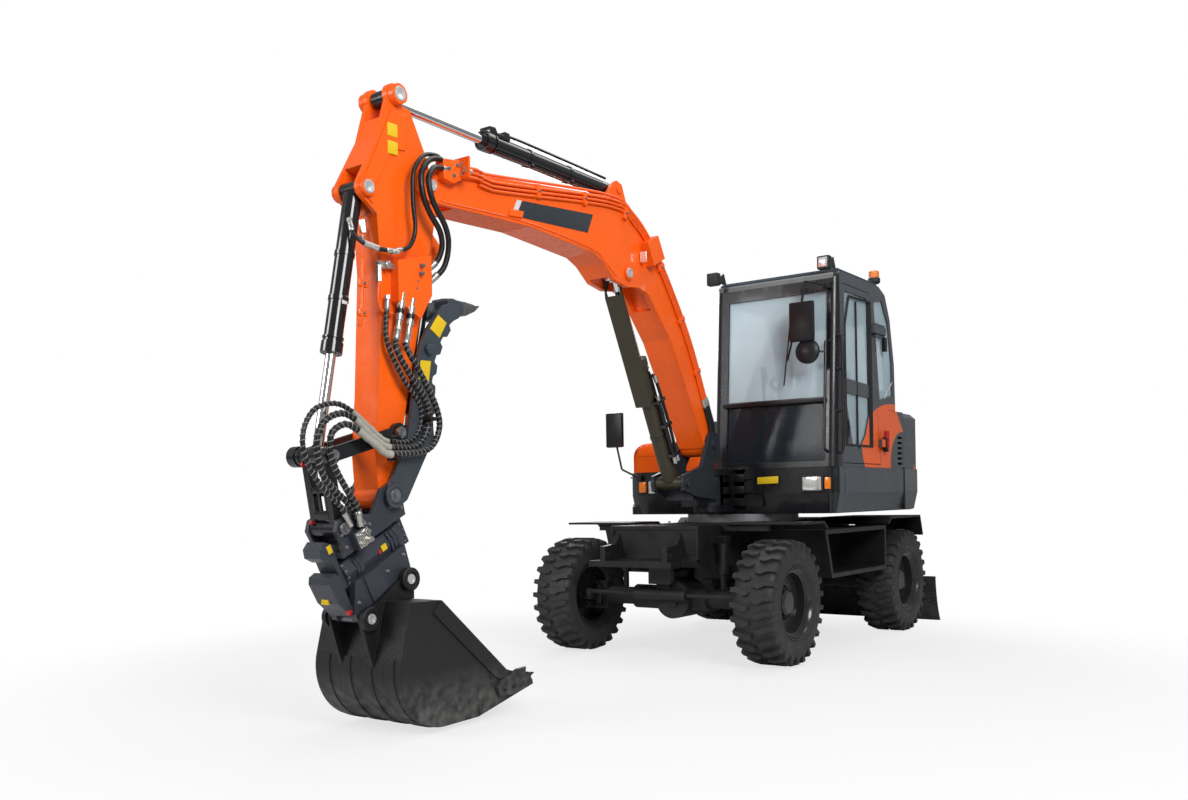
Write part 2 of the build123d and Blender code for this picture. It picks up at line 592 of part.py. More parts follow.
HOOD_FRONT = COUNTERWEIGHT_FRONT   # where the engine hood parts from the fixed covers
COVER_WALL = 18
COVER_INSET = 8                    # covers and hood stand inside the skirts by this much
HOOD_HINGE = (HOOD_FRONT - 2, HOOD_TOP_REAR + 11)       # y, z
HOOD_HINGE_PLACES = (-500, 450)
with BuildPart() as side_covers:
    cover_rear = HOOD_FRONT - 4
    for low, high in ((UPPER_HALF - COVER_INSET - COVER_WALL, UPPER_HALF - COVER_INSET),
                      (-UPPER_HALF + COVER_INSET, -UPPER_HALF + COVER_INSET + COVER_WALL)):
        add(block((low, high), (CAB_REAR_STEP + 2, cover_rear), (SKIRT_TOP, HOOD_TOP_REAR - RUN)))
    add(block((-UPPER_HALF + COVER_INSET, CAB_INNER_X - 5), (CAB_REAR_STEP + 2, cover_rear),
              (HOOD_TOP_REAR - COVER_WALL, HOOD_TOP_REAR - RUN)))
    add(block((-UPPER_HALF + COVER_INSET, CAB_INNER_X - 5), (CAB_REAR_STEP + 2, CAB_REAR_STEP + 2 + COVER_WALL),
              (SKIRT_TOP, HOOD_TOP_REAR - RUN)))
    add(block((CAB_INNER_X - 10, UPPER_HALF - COVER_INSET), (CAB_REAR_TOP + 3, cover_rear),
              (HOOD_TOP_REAR - COVER_WALL, HOOD_TOP_REAR - RUN)))
    for low in range(SKIRT_TOP + 30, SKIRT_TOP + 250, 42):
        for side in (-1, 1):
            inner, outer = sorted((side * (UPPER_HALF - COVER_INSET - COVER_WALL - 5), side * UPPER_HALF))
            add(block((inner, outer), (cover_rear - 130, cover_rear - 20), (low, low + 20)), mode=Mode.SUBTRACT)
    for x in HOOD_HINGE_PLACES:
        add(block((x - 40, x + 40), (HOOD_HINGE[0] - 50, HOOD_HINGE[0] - 4), (HOOD_TOP_REAR - 1, HOOD_TOP_REAR + 8)))
        add(cross_rod(HOOD_HINGE, 11, x - 20, x + 20), mode=Mode.SUBTRACT)
        for low in (x - 40, x + 20):
            add(cross_rod(HOOD_HINGE, 9, low, low + 20))
        add(cross_rod(HOOD_HINGE, 5, x - 40, x + 40))
keep(side_covers.part, "side_covers")

with BuildPart() as rear_hood:
    with BuildSketch(Plane.XY.offset(SKIRT_TOP + RUN)):
        add(footprint(COVER_INSET))
    extrude(amount=HOOD_TOP_REAR - SKIRT_TOP - RUN)
    add(block((-UPPER_HALF - 10, UPPER_HALF + 10), (BODY_FRONT - 10, HOOD_FRONT), (900, 1900)), mode=Mode.SUBTRACT)
    chamfer(rear_hood.faces().sort_by(Axis.Z)[-1].edges().sort_by(Axis.Y)[1:], 40)
    with BuildSketch(Plane.XY.offset(SKIRT_TOP)):
        add(footprint(COVER_INSET + COVER_WALL))
    extrude(amount=HOOD_TOP_REAR - SKIRT_TOP - 48, mode=Mode.SUBTRACT)
    for x in HOOD_HINGE_PLACES:
        add(block((x - 18, x + 18), (HOOD_HINGE[0] + 4, HOOD_HINGE[0] + 60), (HOOD_TOP_REAR - 5, HOOD_TOP_REAR + 6)))
        add(cross_rod(HOOD_HINGE, 9, x - 19, x + 19))
        add(cross_rod(HOOD_HINGE, 5 + RUN, x - 25, x + 25), mode=Mode.SUBTRACT)
keep(rear_hood.part, "rear_hood")

# ---------------------------------------------------------------- lamps and mirrors
FRONT_LAMPS = [                    # x low, x high, z low, z high, how far it stands out
    (660, 830, 1140, 1262, 26), (842, 884, 1160, 1245, 20),
    (-655, -520, 1140, 1262, 30), (-735, -672, 1160, 1245, 30),
]
ROOF_LAMPS = [                     # x, y, z of the middle
    (858, -330, CAB_TOP + 45), (-42, -330, CAB_TOP + 45), (858, 630, CAB_TOP + 40),
]
with BuildPart() as lamps:
    for x_low, x_high, z_low, z_high, depth in FRONT_LAMPS:
        add(block((x_low, x_high), (BODY_FRONT - depth, BODY_FRONT - SEAT), (z_low, z_high)))
    for x, y, z in ROOF_LAMPS[:2]:
        add(block((x - 47, x + 47), (y - 32, y + 32), (z - 48, z + 48)))
        roof = CAB_TOP + ROOF_THICK + SEAT
        add(side_plate([(y + 32, roof), (y + 32, z + 20), (y + 160, roof + 85), (y + 200, roof)], x - 4, x + 4))
    # warning beacon on the roof's rear corner
    x, y, z = ROOF_LAMPS[2]
    add(block((x - 30, x + 30), (y - 120, y + 30), (z, z + 10)))
    add(block((x - 30, x + 30), (y - 120, y - 95), (CAB_TOP + ROOF_THICK + SEAT, z + 10)))
    with Locations((x, y, z + 28)):
        Cylinder(48, 36)
    with Locations((x, y, z + 76)):
        Cylinder(42, 60)
keep(lamps.part, "lamps")

with BuildPart() as mirrors:
    # hung in front of the left pillar
    foot = 2600
    add(block((840, 880), (front_line(foot) - 60, front_line(foot) - SEAT), (foot, foot + 40)))
    add(bar((860, front_line(foot) - 50, foot + 20), (760, -450, foot + 35), 9))
    add(bar((760, -450, foot + 35), (735, -450, foot - 110), 9))
    add(block((645, 825), (-470, -440), (2215, 2490)))
    # round mirror on the grab rail
    add(bar((860, -342 - 12, 2140), (765, -425, 2140), 7))
    with Locations(Location((765, -432, 2140), (90, 0, 0))):
        Cylinder(85, 22)
    # right mirror on a stalk from the headlamp's corner
    add(block((-755, -715), (BODY_FRONT - 28, BODY_FRONT - SEAT), (SKIRT_TOP - 62, SKIRT_TOP - 28)))
    add(bar((-735, BODY_FRONT - 14, SKIRT_TOP - 45), (-850, -430, SKIRT_TOP + 30), 8))
    add(bar((-850, -430, SKIRT_TOP + 30), (-905, -430, SKIRT_TOP + 260), 8))
    add(block((-980, -830), (-455, -425), (SKIRT_TOP + 210, SKIRT_TOP + 480)))
keep(mirrors.part, "mirrors")

# ---------------------------------------------------------------- glass, door and cab inside
GLASS_INSET = 14                   # from the frame's outer face to the glass
with BuildPart() as cab_glass:
    for low, high in WINDSCREEN_PANES:
        add(side_plate([
            (front_line(low) + GLASS_INSET, low), (front_line(high) + GLASS_INSET, high),
            (front_line(high) + GLASS_INSET + GLASS_THICK, high), (front_line(low) + GLASS_INSET + GLASS_THICK, low),
        ], *WINDSCREEN_SIDES))
    add(side_plate(QUARTER_WINDOW, CAB_OUTER_X - GLASS_INSET - GLASS_THICK, CAB_OUTER_X - GLASS_INSET))
    add(side_plate(RIGHT_WINDOW, CAB_INNER_X + GLASS_INSET, CAB_INNER_X + GLASS_INSET + GLASS_THICK))
    low, high = REAR_WINDOW
    add(side_plate([
        (845, low), (838, 2150), (770, high), (770 - GLASS_THICK, high), (838 - GLASS_THICK, 2150),
        (845 - GLASS_THICK, low),
    ], *WINDSCREEN_SIDES))
keep(cab_glass.part, "cab_glass")

DOOR_THICK = 40
DOOR_GAP = 5
with BuildPart() as door:
    with BuildSketch(Plane.YZ.offset(CAB_OUTER_X - DOOR_THICK)):
        with BuildLine() as edge:
            Polyline(*DOOR_OUTLINE, close=True)
            offset(amount=-DOOR_GAP, mode=Mode.REPLACE)
        make_face()
        for pane in DOOR_PANES:
            with BuildLine():
                Polyline(*pane, close=True)
            make_face(mode=Mode.SUBTRACT)
    extrude(amount=DOOR_THICK)
    for z in (1480, 2350):
        add(block((CAB_OUTER_X, DOOR_HINGE[0] + 12), (370 if z > 2000 else 500, DOOR_HINGE[1]), (z, z + 60)))
        with Locations((*DOOR_HINGE, z + 30)):
            Cylinder(16, 60)
            Cylinder(8 + RUN, 70, mode=Mode.SUBTRACT)
keep(door.part, "door")

with BuildPart() as door_glass:
    for pane in DOOR_PANES:
        add(side_plate(pane, CAB_OUTER_X - GLASS_INSET - GLASS_THICK, CAB_OUTER_X - GLASS_INSET))
keep(door_glass.part, "door_glass")

with BuildPart() as seat:
    add(block((230, 640), (180, 560), (SKIRT_TOP + 30 + RUN, 1560)))
    add(block((190, 690), (100, 600), (1560, 1700)))
    add(side_plate([(520, 1700), (600, 1700), (690, 2150), (640, 2190), (590, 2170)], 200, 680))
keep(seat.part, "seat")

# ---------------------------------------------------------------- swing post
PIN_BOOM = 30
POST_RADIUS = 92
with BuildPart() as swing_post:
    add(bar((0, KINGPIN_Y, DECK_TOP + RUN), (0, KINGPIN_Y, UPPER_LUG - RUN), POST_RADIUS))
    add(block((-BOOM_HALF, BOOM_HALF), (-950, KINGPIN_Y - 40), (1095, 1235)))
    for side in (-1, 1):
        low, high = sorted((side * (BOOM_HALF - 0), side * (BOOM_HALF + EAR_THICK + 4)))
        with BuildSketch(Plane.YZ.offset(low)):
            with BuildLine():
                Polyline((-690, 1100), (-940, 1120), (-1110, 1165), (-1120, 1270), (-1040, 1290), (-860, 1340),
                         (-775, 1500), (-590, 1500), (-590, 1440), (-670, 1345), (-690, 1260), close=True)
            make_face()
            with Locations(BOOM_FOOT):
                Circle(92)
            with Locations(BOOM_CYL_BASE):
                Circle(62)
        extrude(amount=high - low)
    add(bar((0, KINGPIN_Y, 900), (0, KINGPIN_Y, 1500), KINGPIN_RADIUS + RUN), mode=Mode.SUBTRACT)
    for pin in (BOOM_FOOT, BOOM_CYL_BASE):
        add(cross_rod(pin, PIN_BOOM, -BOOM_HALF - EAR_THICK - 16, BOOM_HALF + EAR_THICK + 16))
keep(swing_post.part, "swing_post")

# ---------------------------------------------------------------- boom
BOOM_FACE = BOOM_HALF - RUN
BOOM_POCKET = 72                   # half width of the pocket for the boom cylinder's eye
with BuildPart() as boom:
    with BuildSketch(Plane.YZ.offset(-BOOM_FACE)):
        with BuildLine():
            Polyline((-600, 1560), (-640, 1630), (-950, 2230), (-1210, 2590), (-1420, 2820), (-1640, 2970), (-1930, 3030),
                     (-3060, 2885), (-3500, 2828), (-3620, 2760), (-3620, 2690), (-3560, 2650), (-3450, 2650),
                     (-2720, 2680), (-2100, 2640), (-2000, 2600), (-1880, 2510), (-1740, 2485), (-1600, 2500),
                     (-1500, 2480), (-1230, 2200), (-1070, 1950), (-770, 1470), (-680, 1420), close=True)
        make_face()
        with Locations(BOOM_FOOT):
            Circle(88)
    extrude(amount=2 * BOOM_FACE)
    # fork for the arm
    add(side_plate([(-3720, 2400), (-3340, 2500), (-3330, 2700), (-3180, 2880), (-3180, 3000), (-3720, 3000)],
                   -ARM_HALF - RUN, ARM_HALF + RUN), mode=Mode.SUBTRACT)
    add(cross_rod(ARM_PIVOT, PIN_BOOM, -BOOM_FACE - 12, BOOM_FACE + 12))
    # hose bracket box on the tip, work-lamp box on the left side, pipe clamps on the back
    add(side_plate([(-3475, 2770), (-3475, 2870), (-3340, 2892), (-3325, 2800), (-3400, 2760)],
                   BOOM_HALF - 8, BOOM_HALF + 48))
    add(side_plate([(-1590, 2790), (-1460, 2860), (-1380, 2720), (-1510, 2650)], BOOM_HALF - 20, BOOM_HALF + 68))
    for side in (-1, 1):
        low, high = sorted((side * (BOOM_FACE - 2), side * (BOOM_FACE + 16)))
        add(cross_rod(BOOM_CYL_EYE, 46, low, high))
    # pocket for the boom cylinder's eye, open below
    add(side_plate([(-2100, 2400), (-1850, 2560), (-1835, 2640), (-1740, 2700), (-1560, 2715), (-1490, 2660),
                    (-1440, 2540), (-1380, 2400), (-1500, 2300)],
                   -BOOM_POCKET, BOOM_POCKET), mode=Mode.SUBTRACT)
    add(cross_rod(BOOM_FOOT, PIN_BOOM + RUN, -BOOM_HALF, BOOM_HALF), mode=Mode.SUBTRACT)
    # arm cylinder's ears on the boom's back
    for side in (-1, 1):
        low, high = sorted((side * 58, side * 80))
        add(side_plate([(-1960, 3000), (-1640, 2930), (-1700, 3060), (-1740, 3150), (-1800, 3165), (-1850, 3130)],
                       low, high))
    add(cross_rod(ARM_CYL_BASE, 26, -90, 90))
keep(boom.part, "boom")

barrel, rod = ram(BOOM_CYL_BASE, BOOM_CYL_EYE, 930, 540, 56, 28, 30, BOOM_HALF - RUN, 54)
keep(barrel, "boom_cyl_barrel")
keep(rod, "boom_cyl_rod")

# guard plate that the boom cylinder's rod carries in front of its barrel
GUARD_HALF = 62
GUARD_OFFSET = 76                  # from the cylinder's axis to the plate
GUARD_THICK = 5
with BuildPart() as rod_guard:
    def along_rod(distance, offset):
        """A point (y, z) given back from the rod's eye along the cylinder, and forward of its axis."""
        return beside(BOOM_CYL_EYE, BOOM_CYL_BASE, distance, -offset)

    add(side_plate([along_rod(d, o) for d, o in (
        (115, GUARD_OFFSET), (900, GUARD_OFFSET), (900, GUARD_OFFSET + GUARD_THICK), (115, GUARD_OFFSET + GUARD_THICK))],
        -GUARD_HALF, GUARD_HALF))
    for side in (-1, 1):
        low, high = sorted((side * (GUARD_HALF - GUARD_THICK), side * GUARD_HALF))
        add(side_plate([along_rod(d, o) for d, o in (
            (-20, 30), (-20, -30), (30, -30), (90, 48), (900, 58), (900, GUARD_OFFSET + 1), (115, GUARD_OFFSET + 1),
            (60, 60))], low, high))
    for side in (-1, 1):
        low, high = sorted((side * 54, side * GUARD_HALF))
        add(cross_rod(BOOM_CYL_EYE, 40, low, high))
keep(rod_guard.part, "rod_guard")

# ---------------------------------------------------------------- arm
PIN_ARM = 26
with BuildPart() as arm:
    with BuildSketch(Plane.YZ.offset(-ARM_HALF)):
        with BuildLine():
            Polyline((-3640, 3085), (-3520, 2860), (-3465, 2600), (-3500, 2440), (-3590, 2050), (-3665, 1730),
                     (-3745, 1380), (-3775, 1180), (-3890, 1180), (-3905, 1370), (-3880, 1640), (-3850, 2240),
                     (-3870, 2520), (-3960, 2580), (-3985, 2660), (-3850, 2900), (-3790, 3100), close=True)
        make_face()
        for centre, radius in ((ARM_CYL_EYE, 58), (ARM_END, 68), (BUCKET_CYL_BASE, 52)):
            with Locations(centre):
                Circle(radius)
    extrude(amount=2 * ARM_HALF)
    # plates that stiffen the sides, and the bosses of the two upper pins
    for side in (-1, 1):
        low, high = sorted((side * (ARM_HALF - 2), side * (ARM_HALF + 6)))
        add(side_plate([(-3770, 3050), (-3660, 3050), (-3660, 2940), (-3680, 2870), (-3760, 2860), (-3890, 2640),
                        (-3900, 2560), (-3950, 2600), (-3950, 2680), (-3850, 2880)], low, high))
        low, high = sorted((side * (ARM_HALF - 2), side * (ARM_HALF + 38)))
        add(cross_rod(ARM_CYL_EYE, 50, low, high))
        low, high = sorted((side * (ARM_HALF - 2), side * (ARM_HALF + 24)))
        add(cross_rod(BUCKET_CYL_BASE, 44, low, high))
    add(side_plate([(-3790, 2300), (-3560, 2360), (-3560, 2160), (-3640, 2030), (-3790, 2100)], ARM_HALF - 20, ARM_HALF + 58))
    # fork for the arm cylinder's eye
    add(side_plate([(-3850, 3015), (-3740, 2990), (-3600, 2900), (-3400, 2900), (-3400, 3300), (-3900, 3300)],
                   -55, 55), mode=Mode.SUBTRACT)
    # pocket for the bucket cylinder's foot
    add(side_plate([(-3870, 2400), (-3880, 2640), (-3860, 2720), (-4100, 2800), (-4100, 2400)],
                   -60, 60), mode=Mode.SUBTRACT)
    add(cross_rod(BUCKET_CYL_BASE, PIN_ARM, -ARM_HALF - 10, ARM_HALF + 10))
    add(cross_rod(ARM_PIVOT, PIN_BOOM + RUN, -200, 200), mode=Mode.SUBTRACT)
    add(cross_rod(ARM_END, PIN_BOOM + RUN, -200, 200), mode=Mode.SUBTRACT)
    add(cross_rod(IDLER_PIVOT, PIN_ARM, -ARM_HALF - 40, ARM_HALF + 40))
    # thumb cylinder's ears on the arm's rear
    for side in (-1, 1):
        low, high = sorted((side * 33, side * 51))
        add(side_plate([(-3500, 2540), (-3510, 2350), (-3430, 2370), (-3400, 2400), (-3400, 2450), (-3430, 2480)],
                       low, high))
    add(cross_rod(THUMB_CYL_BASE, 18, -60, 60))
keep(arm.part, "arm")

barrel, rod = ram(ARM_CYL_BASE, ARM_CYL_EYE, 1220, 725, 50, 27, 26, 57, 48)
keep(barrel, "arm_cyl_barrel")
keep(rod, "arm_cyl_rod")
barrel, rod = ram(BUCKET_CYL_BASE, LINK_TOP, 820, 445, 45, 25, 26, 58, 40)
keep(barrel, "bucket_cyl_barrel")
keep(rod, "bucket_cyl_rod")
barrel, rod = ram(THUMB_CYL_BASE, THUMB_CYL_EYE, 870, 150, 32, 18, 18, 32, 30)
keep(barrel, "thumb_cyl_barrel")
keep(rod, "thumb_cyl_rod")

# ---------------------------------------------------------------- bucket linkage
EAR_IN = ARM_HALF + RUN
EAR_OUT = EAR_IN + EAR_THICK + 3


def link_plate(start, end, width, radius_start, radius_end, x_low, x_high, bores=()):
    """A flat link between two pivots, with round ends."""
    with BuildPart() as plate:
        with BuildSketch(Plane.YZ.offset(x_low)):
            with BuildLine():
                Polyline(beside(start, end, 0, width), beside(start, end, 0, -width),
                         beside(end, start, 0, width), beside(end, start, 0, -width), close=True)
            make_face()
            with Locations(start):
                Circle(radius_start)
            with Locations(end):
                Circle(radius_end)
            for centre, radius in bores:
                with Locations(centre):
                    Circle(radius, mode=Mode.SUBTRACT)
        extrude(amount=x_high - x_low)
    return plate.part


with BuildPart() as idler_links:
    for low, high in ((EAR_IN, EAR_OUT), (-EAR_OUT, -EAR_IN)):
        add(link_plate(IDLER_PIVOT, LINK_TOP, 34, 48, 44, low, high, [(IDLER_PIVOT, PIN_ARM + RUN)]))
keep(idler_links.part, "idler_links")

with BuildPart() as push_link:
    for low, high in ((46, ARM_HALF - RUN), (-ARM_HALF + RUN, -46)):
        add(link_plate(LINK_LOW, LINK_TOP, 26, 40, 40, low, high))
    add(cross_rod(LINK_LOW, 40, -ARM_HALF + RUN, ARM_HALF - RUN))
    cross = toward(LINK_LOW, LINK_TOP, 170)
    add(cross_rod(cross, 16, -60, 60))
    add(cross_rod(LINK_LOW, PIN_ARM + RUN, -200, 200), mode=Mode.SUBTRACT)
keep(push_link.part, "push_link")

# ---------------------------------------------------------------- tilting coupler
COUPLER_X = Vector(0, LINK_LOW[0] - ARM_END[0], LINK_LOW[1] - ARM_END[1]).normalized()
COUPLER_DOWN = Vector(0, -COUPLER_X.Z, COUPLER_X.Y)
TILT_DROP = 215


def at_coupler(along, drop):
    """A point (y, z) given along the coupler from the arm's end pin, and square below it."""
    point = Vector(0, *ARM_END) + COUPLER_X * along + COUPLER_DOWN * drop
    return (point.Y, point.Z)


with BuildPart() as coupler_head:
    for low, high in ((EAR_IN, EAR_OUT), (-EAR_OUT, -EAR_IN)):
        add(side_plate([at_coupler(u, w) for u, w in
                        ((-55, -30), (-20, -62), (40, -60), (150, 20), (290, -50), (350, -50), (385, -10),
                         (380, 60), (400, 122), (-40, 122), (-55, 60))], low, high))
    add(side_plate([at_coupler(u, w) for u, w in ((-40, 96), (400, 96), (400, 122), (-40, 122))],
                   -EAR_OUT, EAR_OUT))
    for u_low, u_high in ((-40, -12), (402, 430)):
        add(side_plate([at_coupler(u, w) for u, w in
                        ((u_low, 96), (u_high, 96), (u_high, TILT_DROP + 60), (u_low, TILT_DROP + 60))], -62, 62))
    add(side_plate([at_coupler(u, w) for u, w in ((400, 96), (430, 96), (430, 122), (400, 122))], -62, 62))
    shaft_start = at_coupler(-30, TILT_DROP)
    shaft_end = at_coupler(410, TILT_DROP)
    add(bar((0, *shaft_start), (0, *shaft_end), 30))
    # valve block on the left, hook at the front
    add(side_plate([at_coupler(u, w) for u, w in ((240, 30), (330, 30), (330, 118), (240, 118))], EAR_OUT - 5, EAR_OUT + 45))
    add(side_plate([at_coupler(u, w) for u, w in
                    ((385, 60), (430, 20), (470, 40), (480, 80), (450, 118), (400, 118))], -60, 60))
    add(cross_rod(ARM_END, PIN_BOOM, -EAR_OUT - 30, EAR_OUT + 30))
    add(cross_rod(LINK_LOW, PIN_ARM, -EAR_OUT - 10, EAR_OUT + 10))
keep(coupler_head.part, "coupler_head")

with BuildPart() as coupler_foot:
    start = at_coupler(-12 + 1, TILT_DROP)
    plane = Plane(origin=(0, *start), x_dir=(1, 0, 0), z_dir=COUPLER_X)
    with BuildSketch(plane):
        RegularPolygon(84, 8)
    extrude(amount=402 + 12 - 2)
    for low, high in ((52, 94), (-94, -52)):
        add(side_plate([at_coupler(u, w) for u, w in
                        ((20, 260), (380, 260), (450, 390), (450, 436), (428, 462), (385, 460), (350, 426), (160, 406),
                         (135, 440), (95, 448), (60, 430), (40, 400))], low, high))
    add(side_plate([at_coupler(u, w) for u, w in ((20, 270), (390, 270), (401, 330), (30, 330))], -60, 60))
    for distance in (34, 300):
        with BuildSketch(plane.offset(distance)):
            Circle(86)
        extrude(amount=44)
    add(side_plate([at_coupler(u, w) for u, w in ((215, 262), (330, 262), (330, 400), (215, 385))], 60, 104))
    # housing over the actuator's front end
    add(side_plate([at_coupler(u, w) for u, w in ((437, 200), (450, 175), (488, 178), (505, 205), (500, 310), (462, 402),
                                                  (437, 402))], -75, 75))
    with BuildSketch(plane.offset(-1)):
        Circle(30 + RUN)
    extrude(amount=420, mode=Mode.SUBTRACT)
    for pin in (BUCKET_PIN_REAR, BUCKET_PIN_FRONT):
        add(cross_rod(pin, 22.5 + SEAT, -200, 200), mode=Mode.SUBTRACT)
keep(coupler_foot.part, "coupler_foot")

# ---------------------------------------------------------------- bucket
BUCKET_HEEL = ((-3964, 380), (-3898, 118), (-3680, 24))     # start, middle and end of the rolled back
BUCKET_FRONT = [(-3440, 28), (-3000, 130), (-3020, 175), (-3230, 240), (-3700, 640), (-3895, 645)]
BUCKET_MOUTH = [(-3445, 46), (-3225, 100), (-3000, 150), (-2900, 400), (-3400, 900), (-3700, 620), (-3875, 622)]


def rolled_plate(heel, front, x_low, x_high):
    """A plate in the bucket's outline: an arc through the heel's three points, then straight runs."""
    with BuildPart() as plate:
        with BuildSketch(Plane.YZ.offset(x_low)):
            with BuildLine():
                ThreePointArc(*heel)
                Polyline(heel[2], *front, heel[0])
            make_face()
        extrude(amount=x_high - x_low)
    return plate.part


def heel_inside(depth):
    """The heel moved in by the thickness of its plate."""
    start, middle, end = BUCKET_HEEL
    return ((start[0] + depth, start[1]), (middle[0] + 0.75 * depth, middle[1] + 0.66 * depth),
            (end[0] + 0.1 * depth, end[1] + depth))


with BuildPart() as bucket:
    add(rolled_plate(BUCKET_HEEL, BUCKET_FRONT, -BUCKET_HALF, BUCKET_HALF))
    add(rolled_plate(heel_inside(20), BUCKET_MOUTH, -BUCKET_HALF + BUCKET_PLATE, BUCKET_HALF - BUCKET_PLATE),
        mode=Mode.SUBTRACT)
    for low, high in ((98, 122), (-122, -98)):
        with BuildSketch(Plane.YZ.offset(low)):
            with BuildLine():
                Polyline((-3960, 290), (-4010, 440), (-4045, 560), (-4000, 615), (-3920, 650), (-3785, 745), (-3700, 755),
                         (-3700, 642), (-3890, 642), (-3960, 400), close=True)
            make_face()
            for pin in (BUCKET_PIN_REAR, BUCKET_PIN_FRONT):
                with Locations(pin):
                    Circle(46)
            for pin in (BUCKET_PIN_REAR, BUCKET_PIN_FRONT):
                with Locations(pin):
                    Circle(22.5 + SEAT, mode=Mode.SUBTRACT)
        extrude(amount=high - low)
    # bars along the side plates' front edges, wear strips under the floor, teeth
    for side in (-1, 1):
        low, high = sorted((side * (BUCKET_HALF - 2), side * (BUCKET_HALF + 10)))
        add(side_plate([(-3230, 240), (-3700, 640), (-3755, 580), (-3320, 215), (-3190, 150), (-3100, 172)], low, high))
    for x in (-225, -75, 75, 225):
        with BuildSketch(Plane.YZ.offset(x - 32)):
            with BuildLine():
                outer, inner = heel_inside(-5), heel_inside(8)
                ThreePointArc(*outer)
                Polyline(outer[2], (-3440, 23), (-3440, 34), inner[2])
                ThreePointArc(inner[2], inner[1], inner[0])
                Polyline(inner[0], outer[0])
            make_face()
        extrude(amount=64)
    for x in (-210, -70, 70, 210):
        add(side_plate([(-2930, 128), (-2930, 138), (-3050, 175), (-3110, 160), (-3110, 122), (-3050, 105)], x - 28, x + 28))
keep(bucket.part, "bucket")

with BuildPart() as bucket_pins:
    for pin in (BUCKET_PIN_REAR, BUCKET_PIN_FRONT):
        add(cross_rod(pin, 22.5, -140, 140))
keep(bucket_pins.part, "bucket_pins")

# ---------------------------------------------------------------- thumb
THUMB_IN = EAR_OUT + 3
THUMB_OUT = THUMB_IN + 20
with BuildPart() as thumb:
    for low, high in ((THUMB_IN, THUMB_OUT), (-THUMB_OUT, -THUMB_IN)):
        with BuildSketch(Plane.YZ.offset(low)):
            with BuildLine():
                Polyline((-3860, 1210), (-3700, 1400), (-3650, 1560), (-3560, 1900), (-3500, 2050), (-3420, 2200),
                         (-3300, 2225), (-3115, 2147), (-3310, 2105), (-3350, 1990), (-3390, 1800),
                         (-3540, 1500), (-3630, 1340), (-3740, 1130), (-3800, 1095), close=True)
            make_face()
            with Locations(ARM_END):
                Circle(58)
                Circle(PIN_BOOM + RUN, mode=Mode.SUBTRACT)
        extrude(amount=high - low)
    for y, z in ((-3335, 2095), (-3362, 1990), (-3385, 1880), (-3420, 1760), (-3475, 1640)):
        for low, high in ((THUMB_IN, THUMB_OUT), (-THUMB_OUT, -THUMB_IN)):
            add(side_plate([(y - 15, z - 34), (y + 26, z - 6), (y - 4, z + 34), (y - 40, z)], low, high))
    for y, z in ((-3400, 1930), (-3360, 2130)):
        add(cross_rod((y, z), 28, -THUMB_OUT + 2, THUMB_OUT - 2))
keep(thumb.part, "thumb")
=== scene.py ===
import math
import bmesh
import bpy
from mathutils import Matrix, Vector


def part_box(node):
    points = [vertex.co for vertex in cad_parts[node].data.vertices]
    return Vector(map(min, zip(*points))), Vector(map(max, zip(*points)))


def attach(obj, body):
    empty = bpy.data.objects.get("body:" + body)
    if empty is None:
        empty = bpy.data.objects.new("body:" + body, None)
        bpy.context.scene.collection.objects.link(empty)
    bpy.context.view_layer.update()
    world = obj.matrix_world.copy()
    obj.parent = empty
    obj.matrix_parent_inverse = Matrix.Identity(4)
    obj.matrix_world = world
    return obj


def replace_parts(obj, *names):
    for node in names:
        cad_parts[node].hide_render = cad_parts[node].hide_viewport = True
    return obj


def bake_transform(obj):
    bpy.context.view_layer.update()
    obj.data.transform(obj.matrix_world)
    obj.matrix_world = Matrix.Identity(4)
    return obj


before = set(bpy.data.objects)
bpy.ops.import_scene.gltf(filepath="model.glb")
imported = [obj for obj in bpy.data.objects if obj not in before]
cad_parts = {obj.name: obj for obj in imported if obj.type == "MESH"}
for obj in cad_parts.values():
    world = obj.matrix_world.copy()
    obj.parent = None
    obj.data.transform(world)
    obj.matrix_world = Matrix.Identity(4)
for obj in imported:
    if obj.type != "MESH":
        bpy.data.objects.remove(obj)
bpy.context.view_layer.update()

# ---- studio ---------------------------------------------------------------------------------
# A plain pale floor and backdrop that show white behind the machine, glass and chrome, and
# keep its shadow. Four soft panels and a dim world light it at a plain level.
scene = bpy.context.scene
scene.view_settings.view_transform = "Standard"


def add_node(tree, kind, inputs=None, **settings):
    """One shader node. inputs gives a socket or a constant for each named or numbered input."""
    node = tree.nodes.new(kind)
    for setting, value in settings.items():
        setattr(node, setting, value)
    for key, value in (inputs or {}).items():
        if isinstance(value, bpy.types.NodeSocket):
            tree.links.new(value, node.inputs[key])
        else:
            node.inputs[key].default_value = value
    return node


def new_finish(name):
    """A material with its node tree and its main shader."""
    material = bpy.data.materials.new(name)
    material.use_nodes = True
    return material, material.node_tree, material.node_tree.nodes["Principled BSDF"]


